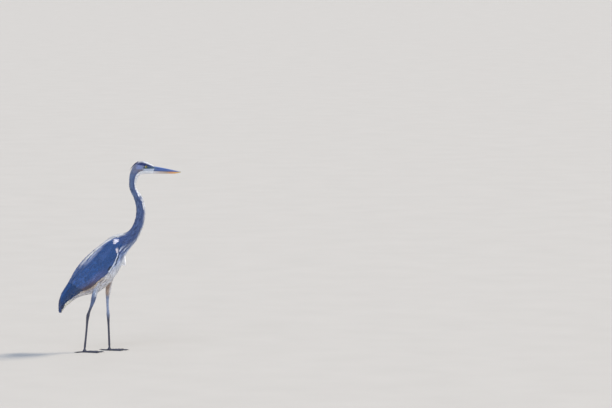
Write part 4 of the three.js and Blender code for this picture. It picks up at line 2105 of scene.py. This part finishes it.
    def tail(self) -> None:
        """Grows the tail feathers."""
        spine, m = self.skin.spine, self.markings
        count = 12
        theta = np.linspace(-1.45, 1.45, count)
        order = np.argsort(-np.abs(theta))
        theta = theta[order]
        start = m.tail - 30 * MM
        length = spine.length - start + 3 * MM
        paths, normals = [], []
        for share in FLIGHT.stations():
            u = start + share * length
            inside = min(u, spine.length - 7 * MM)
            places, faces = self.tract.project(np.full(count, inside), theta)
            _, along, _, _ = spine.frame(np.full(count, inside))
            paths.append(places + along * (u - inside))
            normals.append(self.skin.torso.normals[faces])
        paths, normals = np.stack(paths, axis=1), np.stack(normals, axis=1)
        tint = plain(m.rear, count)
        coat = Feathers()
        tips = np.linspace(1.5, 3.2, count) * MM
        coat.grow(
            lifted(paths, normals, FLIGHT, -0.8 * MM, tips),
            normals,
            np.full(count, 11 * MM),
            FLIGHT,
            tint,
            tint * 1.35,
            BODY_PLOT.spot(np.full(count, start), theta, spine.length),
            0.1 * np.sign(theta),
        )
        coat.piece("coat_tail", VaneFinish("tail feathers", roughness=0.52).material(), "tail_feathers")

    def thigh(self, side: str) -> None:
        """Grows the soft feathers of one thigh.

        Args:
            side: Which thigh.
        """
        sign = SIDES[side]
        line = self.markings.thighs[sign]
        knee = line.length - THIGH_OVERLAP
        tract = Tract(self.skin.limbs[side], line, self.rng, reach=34 * MM)
        u, theta, places, faces = tract.roots(lambda _: 3.2 * MM, 8 * MM, knee + 2 * MM, lambda u, *_: u > 0)
        length = np.clip(line.length - 2 * MM - u, 5 * MM, self.rng.uniform(14, 22, len(u)) * MM)
        length *= self.rng.uniform(0.8, 1.0, len(u))
        splay = self.rng.normal(0, 0.1, len(u))
        paths, normals = tract.lay(u, places, faces, length, HAIRY.stations(), splay)
        end = u + length
        tint = self.markings.thigh(paths[:, 2], sign)
        # On the near leg, the shank's colour carries painted shade.
        shank = linear(self.markings.shaded_near_shank if sign < 0 else self.markings.shank)
        tint = self.vary(blend(tint, shank, ease(knee - 4 * MM, knee + 16 * MM, end)), 0.07)
        tip = (0.5 + self.rng.uniform(2.0, 3.6, len(u)) * ease(knee + 14 * MM, knee - 30 * MM, end)) * MM
        coat = Feathers()
        coat.grow(
            lifted(paths, normals, HAIRY, -0.6 * MM, tip),
            normals,
            (1.2 + 0.9 * ease(knee + 8 * MM, knee - 20 * MM, end)) * MM,
            HAIRY,
            tint * 0.94,
            tint * 1.08,
            THIGH_PLOTS[side].spot(u, theta, line.length),
            self.rng.normal(0, 0.08, len(u)),
        )
        coat.piece(f"coat_thigh_{side}", VaneFinish(f"thigh feathers, {side}").material(), "thigh_plumage")

    def tuft(self) -> None:
        """Grows the long loose plumes of the lower breast, gathered to one hanging tip."""
        node = "breast_plumes"
        solid = node_points(node)
        tip = solid[np.argsort(solid[:, 2])[:3]].mean(0) * [1, 0, 1]

        def keep(_: Array, theta: Array, places: Array) -> Array:
            """Keeps roots on the front of the breast, a little above the tip.

            Args:
                _: Distances along the body.
                theta: Angles round it.
                places: The places themselves.

            Returns:
                True for each root that stays.
            """
            above = places[:, 2] - tip[2]
            near = (np.abs(places[:, 1]) < 15 * MM) & (above > 8 * MM) & (above < 56 * MM)
            return near & (np.abs(theta) > 2)

        start, end = self.markings.shoulder - 60 * MM, self.markings.shoulder + 160 * MM
        u, theta, places, faces = self.tract.roots(lambda _: 2.6 * MM, start, end, keep)
        count = len(u)
        normal = self.skin.torso.normals[faces]
        _, along, _, _ = self.skin.spine.frame(u)
        along = tangent(along, normal)
        aim = tip + self.rng.normal(0, 1.0, (count, 3)) * [1.2 * MM, 1.6 * MM, 2.4 * MM]
        goal = places + (aim - places) * self.rng.uniform(0.62, 1.0, count)[:, None]
        goal[:, 1] += 0.2 * places[:, 1]
        span = np.linalg.norm(goal - places, axis=1)[:, None]
        bend = places + (goal - places) * 0.4 + (along * 0.12 + normal * 0.1) * span
        share = LANCE.stations()[None, :, None]
        paths = places[:, None] * (1 - share) ** 2 + 2 * bend[:, None] * share * (1 - share)
        paths = paths + goal[:, None] * share**2
        normals = np.repeat(unit(normal + [0, 0, 0.2])[:, None], paths.shape[1], axis=1)
        tint = self.vary(plain("#ffffff", count), 0.02)
        coat = Feathers()
        coat.grow(
            paths,
            normals,
            self.rng.uniform(2.2, 3.4, count) * MM,
            LANCE,
            tint * 0.96,
            tint,
            BODY_PLOT.spot(u, theta, self.skin.spine.length),
            self.rng.normal(0, 0.1, count),
        )
        made = coat.piece(f"coat_{node}", VaneFinish("loose plumes of the breast").material(), node)
        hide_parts(node)

    def plumes(
        self, node: str, count: int, half: float, tint: str, slot: str, spread: float, depth: float
    ) -> None:
        """Grows loose plumes through one of the solids, from its top to its tip.

        Args:
            node: The solid they replace.
            count: How many.
            half: Half the width of each.
            tint: Their colour.
            slot: Passed on to the piece, which does not use it.
            spread: How far the roots spread, as a share of the solid's own width.
            depth: How far they spread to the front and back.
        """
        points = node_points(node)
        order = points[np.argsort(-points[:, 2])]
        middles = np.array([part.mean(0) for part in np.array_split(order, 6)])
        middles = np.concatenate([[order[:6].mean(0)], middles, [order[-3:].mean(0)]])
        middles[:, 1] = 0
        line = Spine(middles)
        width = points[:, 1].max()
        share = np.linspace(0, 1, PLUME.segments + 1)
        paths, normals = [], []
        for _ in range(count):
            start, end = self.rng.uniform(0, 0.35), self.rng.uniform(0.8, 1.0)
            middle, _, back, left = line.frame((start + (end - start) * share) * line.length)
            across, out = self.rng.uniform(-1, 1) * width * spread, self.rng.uniform(-1, 1) * depth
            narrowing = (1 - 0.9 * (start + (end - start) * share) ** 2)[:, None]
            paths.append(middle + left * across * narrowing + back * out * narrowing)
            normals.append(unit(left * np.sign(across) + back * 0.4))
        paths, normals = np.array(paths), np.array(normals)
        u, theta = self.skin.spine.locate(paths[:, 0])
        colours = self.vary(plain(tint, count), 0.08)
        coat = Feathers()
        coat.grow(
            paths,
            normals,
            self.rng.uniform(0.8, 1.2, count) * half,
            PLUME,
            colours,
            colours * 1.1,
            BODY_PLOT.spot(u, theta, self.skin.spine.length),
            np.zeros(count),
        )
        made = coat.piece(f"coat_{node}", VaneFinish(f"loose plumes of {node}").material(), slot)
        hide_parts(node)


# ---- Bill, eyes and claws ----


@dataclass
class Bill:
    """The two halves of the bill, with a ridge, a nostril groove and a fine mouth line."""

    rings: int = 90
    sides: int = 72
    nostril: float = 0.17
    """The nostril's middle, as a share of the bill's length."""

    def half(self, name: str, upper: bool) -> bpy.types.Object:
        """Builds one half of the bill inside its solid's box.

        Args:
            name: The solid that it replaces.
            upper: True for the upper half.

        Returns:
            The piece.
        """
        low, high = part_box(name)
        mouth_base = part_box("bill_lower")[1].z
        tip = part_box("bill_upper")[0].z
        share = np.linspace(0, 1, self.rings) ** 0.9
        x = low.x + (high.x - low.x) * share - 6 * MM * (1 - share)
        mouth = mouth_base + (tip - mouth_base) * share + (0.15 if upper else -0.15) * MM
        width = high.y * np.clip(1 - share, 0, 1) ** 0.8 + 0.7 * MM
        if upper:
            edge = high.z + (tip + 0.9 * MM - high.z) * share + 1.4 * MM * np.sin(math.pi * share)
        else:
            rise = np.clip((share - 0.76) / 0.24, 0, 1) ** 1.5
            edge = low.z + (tip - 1.2 * MM - low.z) * rise
        turn = np.linspace(0, TURN, self.sides, endpoint=False)
        ridge = np.abs(np.cos(turn)) ** 0.85 * np.sign(np.cos(turn))
        side = np.abs(np.sin(turn)) ** 0.9 * np.sign(np.sin(turn))
        outer = ridge > 0
        height = (edge - mouth)[:, None] * np.where(outer, ridge, 0.04 * ridge)[None]
        y = width[:, None] * side[None] * (1 - 0.1 * np.where(outer, ridge, 0))[None]
        # Painted shade along the mouth line.
        line = 0.2 if upper else 0.06
        dark = np.exp(-((ridge[None] / line) ** 2)) * np.ones((self.rings, 1)) * 0.75
        if upper:
            around = (np.where(outer, ridge, 0)[None] - 0.55) / 0.1
            slit = np.exp(-(((share[:, None] - self.nostril) / 0.06) ** 4) - around**2)
            groove = np.exp(-(around**2)) * (ease(0.02, 0.1, share) * ease(0.75, 0.35, share))[:, None]
            y = y * (1 - 0.3 * slit - 0.12 * groove)
            # Painted shade in the nostril and along its groove.
            dark = np.maximum(dark, np.maximum(slit**3, 0.35 * groove))
        points = np.stack([np.broadcast_to(x[:, None], y.shape), y, mouth[:, None] + height], axis=-1)
        points = points.reshape(-1, 3)
        faces = capped_faces(self.rings, self.sides)
        if upper:
            faces = faces[:, ::-1]
        piece = mesh_object(name + "_horn", points, facing_out(points, faces))
        # Painted highlight along the ridge of the upper half only.
        lit = np.broadcast_to(ease(0.86, 0.99, ridge)[None], dark.shape) * (1.0 if upper else 0.0)
        marks = np.stack([np.broadcast_to(share[:, None], dark.shape), dark, lit], axis=-1)
        paint(piece, "tint", marks.reshape(-1, 3))
        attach(piece, "root")
        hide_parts(name)
        return piece

    def build(self) -> None:
        """Builds and dresses both halves."""
        upper = self.half("bill_upper", True)
        dark = HornFinish(
            "slate horn of the upper bill",
            (
                (0.0, "#4f6478"),
                (0.15, "#3f5c96"),
                (0.5, "#3c5894"),
                (0.8, "#56699a"),
                (0.93, "#8b8a8c"),
                (1.0, "#8f826a"),
            ),
        )
        upper.data.materials.append(dark.material())
        lower = self.half("bill_lower", False)
        pale = HornFinish(
            "amber horn of the lower bill",
            (
                (0.0, "#cdcdd0"),
                (0.22, "#bfb2ab"),
                (0.48, "#b09a86"),
                (0.62, "#c98f63"),
                (0.78, "#dca05c"),
                (1.0, "#c9b66e"),
            ),
        )
        lower.data.materials.append(pale.material())
        LOG.info("bill built")


@dataclass
class Eyes:
    """Both eyeballs."""

    segments: int = 48
    rings: int = 28

    def build(self) -> None:
        """Builds each eyeball, with its pole on the eye's axis, and dresses it."""
        finish = EyeFinish().material()
        for side, sign in SIDES.items():
            low, high, centre = node_box(f"eye_{side}")
            radius = (high[0] - low[0]) / 2 * 0.985
            axis = unit(np.array([0.32, sign, 0.02]))
            first = unit(np.cross(axis, [0, 0, 1.0]))
            second = np.cross(axis, first)
            polar = np.linspace(0.02, math.pi - 0.02, self.rings)
            turn = np.linspace(0, TURN, self.segments, endpoint=False)
            ring = first * np.cos(turn)[:, None] + second * np.sin(turn)[:, None]
            bulge = 1 + 0.04 * ease(0.9, 0.3, polar)
            points = np.cos(polar)[:, None, None] * axis + np.sin(polar)[:, None, None] * ring[None]
            points = (centre + points * (radius * bulge)[:, None, None]).reshape(-1, 3)
            faces = capped_faces(self.rings, self.segments)
            piece = mesh_object(f"eyeball_{side}", points, facing_out(points - centre, faces))
            away = np.where(polar < math.pi / 2, np.sin(polar), 1.0)
            spokes = np.stack([np.cos(turn), np.sin(turn)], axis=1)
            tint = np.empty((self.rings, self.segments, 3))
            tint[..., 0] = away[:, None]
            tint[..., 1:] = spokes[None]
            paint(piece, "tint", tint.reshape(-1, 3))
            piece.data.materials.append(finish)
            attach(piece, "root")
            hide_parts(f"eye_{side}")
        LOG.info("eyes built")


@dataclass
class Claws:
    """The claws: curved, tapering and slightly flattened."""

    rings: int = 14
    sides: int = 12

    def build(self) -> None:
        """Builds the four claws of each foot as one piece."""
        finish = HornFinish(
            "dark horn of the claws", ((0.0, "#2c2a28"), (0.6, "#1d1b1a"), (1.0, "#3a342c")), roughness=0.3
        ).material()
        for side in SIDES:
            centre = node_box(f"foot_{side}")[2] * [1, 1, 0]
            points, faces, spans = [], [], []
            for toe in TOES:
                solid = node_points(f"claw_{toe}_{side}")
                away = np.linalg.norm(solid[:, :2] - centre[:2], axis=1)
                base = solid[away < np.quantile(away, 0.2)].mean(0)
                tip = solid[away > np.quantile(away, 0.85)].mean(0)
                along = unit((tip - base) * [1, 1, 0])
                across = np.cross(UPWARD, along)
                length = float(np.linalg.norm((tip - base)[:2])) + 2.5 * MM
                share = np.linspace(0, 1, self.rings)
                arch = 1.7 * MM * np.sin(math.pi * share * 0.8) - 2.6 * MM * share**1.3
                radius = 2.5 * MM * (1 - share) ** 0.75 + 0.12 * MM
                turn = np.linspace(0, TURN, self.sides, endpoint=False)
                middle = base - along * 2 * MM + along * (length * share)[:, None] + np.outer(arch, UPWARD)
                section = np.outer(np.cos(turn), UPWARD) + 0.75 * np.outer(np.sin(turn), across)
                rings = middle[:, None] + radius[:, None, None] * section[None]
                rings[..., 2] = np.maximum(rings[..., 2], 0.25 * MM)
                flat = rings.reshape(-1, 3)
                quads = facing_out(flat - centre, capped_faces(self.rings, self.sides))
                faces.append(quads + sum(map(len, points)))
                points.append(flat)
                spans.append(np.repeat(share, self.sides))
            piece = mesh_object(f"claws_{side}", np.concatenate(points), np.concatenate(faces))
            span = np.concatenate(spans)
            paint(piece, "tint", np.stack([span, 0 * span, 0 * span], axis=1))
            piece.data.materials.append(finish)
            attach(piece, "root")
            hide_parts(*(f"claw_{toe}_{side}" for toe in TOES))
        LOG.info("claws built")


# ---- Studio ----


@dataclass
class Studio:
    """Floor, light and camera."""

    frame_width: float = 3.12
    """Width of the view at the bird, in metres."""
    distance: float = 20.0
    elevation: float = 4.5
    aim: tuple[float, float] = (0.95, 0.751)
    """What the camera looks at: ahead of the bird's middle, and above the floor."""
    floor_radius: float = 500.0
    floor_sides: int = 64

    def build(self) -> None:
        """Makes the floor, the lights, the sky and the camera."""
        self.floor()
        self.lamp("key", (-3.0, -6.0, 5.0), 40.0, 1.0, "#e8efff")
        self.lamp("fill", (2.5, -6.0, 0.9), 50.0, 0.95, "#dfe8ff")
        self.lamp("rim", (5.0, 2.0, 5.5), 12.0, 3.2, "#fff0d8")
        self.sky()
        self.camera()

    def floor(self) -> None:
        """Makes a wide round floor."""
        turn = np.linspace(0, TURN, self.floor_sides, endpoint=False)
        rim = np.stack([np.cos(turn), np.sin(turn), 0 * turn], axis=1)
        points = np.concatenate([rim * 0.5, rim * self.floor_radius])
        last = self.floor_sides - 1
        inner = np.array([[i, i + 1, last - 1 - i, last - i] for i in range(last // 2)])
        faces = np.concatenate([tube_faces(2, self.floor_sides)[:, ::-1], inner])
        floor = mesh_object("floor", points, faces, smooth=False)
        floor.data.materials.append(StudioFinish().material())

    @staticmethod
    def lamp(name: str, place: Sequence[float], spread: float, power: float, colour: str) -> None:
        """Sets one far soft lamp, which lights the whole floor evenly.

        Args:
            name: The lamp's name.
            place: The direction that it shines from.
            spread: How wide it looks from the bird, in degrees: wider is softer.
            power: Its strength in watts to the square metre.
            colour: Its colour.
        """
        light = bpy.data.lights.new(name, "SUN")
        light.angle, light.energy = math.radians(spread), power
        light.color = linear(colour)
        lamp = bpy.data.objects.new(name, light)
        lamp.rotation_euler = Vector(place).to_track_quat("Z", "Y").to_euler()
        bpy.context.scene.collection.objects.link(lamp)

    @staticmethod
    def sky() -> None:
        """Gives an even pale surround."""
        world = bpy.data.worlds.new("studio surround")
        bpy.context.scene.world = world
        world.use_nodes = True
        world.node_tree.nodes.clear()
        surround = add(world.node_tree, "Background", {"Color": rgba("#d6e2f6"), "Strength": 0.8})
        output = world.node_tree.nodes.new("ShaderNodeOutputWorld")
        world.node_tree.links.new(surround.outputs[0], output.inputs["Surface"])

    def camera(self) -> None:
        """Sets the camera abeam of the bird, looking a little ahead of it."""
        data = bpy.data.cameras.new("camera")
        data.sensor_width = 36
        data.lens = data.sensor_width * self.distance / self.frame_width
        data.clip_end = 2000
        camera = bpy.data.objects.new("camera", data)
        slope = math.radians(self.elevation)
        aim = Vector((self.aim[0], 0, self.aim[1]))
        camera.location = (0, -self.distance * math.cos(slope), self.aim[1] + self.distance * math.sin(slope))
        camera.rotation_euler = (aim - camera.location).to_track_quat("-Z", "Y").to_euler()
        bpy.context.scene.collection.objects.link(camera)
        bpy.context.scene.camera = camera
        bpy.context.scene.view_settings.view_transform = "Standard"


def thigh_line(side: str) -> Spine:
    """Finds the middle line of one thigh, from its top to a little way down the shank.

    Args:
        side: Which thigh.

    Returns:
        The line.
    """
    shank = node_points(f"shank_{side}")
    joint = shank[shank[:, 2] > shank[:, 2].max() - 2 * MM].mean(0)
    below = shank[shank[:, 2] < shank[:, 2].min() + 4 * MM].mean(0)
    flesh = node_points(f"thigh_{side}")
    high = flesh[flesh[:, 2] > np.quantile(flesh[:, 2], 0.75)].mean(0)
    top = high + (high - joint) * 0.25
    end = joint + unit(below - joint) * THIGH_OVERLAP
    return Spine(np.concatenate([np.linspace(top, joint, 30)[:-1], np.linspace(joint, end, 8)]))


def main() -> None:
    """Builds the bird and the studio, and logs some sizes."""
    logging.basicConfig(level=logging.INFO, format="%(message)s")
    FRAME.update(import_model())
    Studio().build()
    skin = Skin()
    skin.build()
    spine = skin.spine
    LOG.info("middle line: %.3f m", spine.length)

    def middle_u(name: str, share: float) -> float:
        """Finds how far along the body a share of one solid's points have gone."""
        return float(np.quantile(spine.locate(node_points(name))[0], share))

    markings = Markings(
        spine=spine,
        eye=node_box("eye_right")[2] * [1, 0, 1],
        nape=middle_u("neck_upper", 0.02),
        throat=middle_u("neck_upper", 0.35),
        shoulder=middle_u("trunk", 0.02),
        vent=middle_u("trunk", 0.9),
        tail=middle_u("tail", 0.02),
        thighs={sign: thigh_line(side) for side, sign in SIDES.items()},
    )
    skin.piece(markings)
    coat = Coat(skin, markings)
    coat.body()
    for side in SIDES:
        coat.wing(side)
        coat.thigh(side)
    coat.tail()
    coat.plumes("crest", 14, 1.6 * MM, "#232f52", "crest_plumes", 0.9, 1.0 * MM)
    coat.tuft()
    Bill().build()
    Eyes().build()
    Claws().build()


if __name__ == "__main__":
    main()
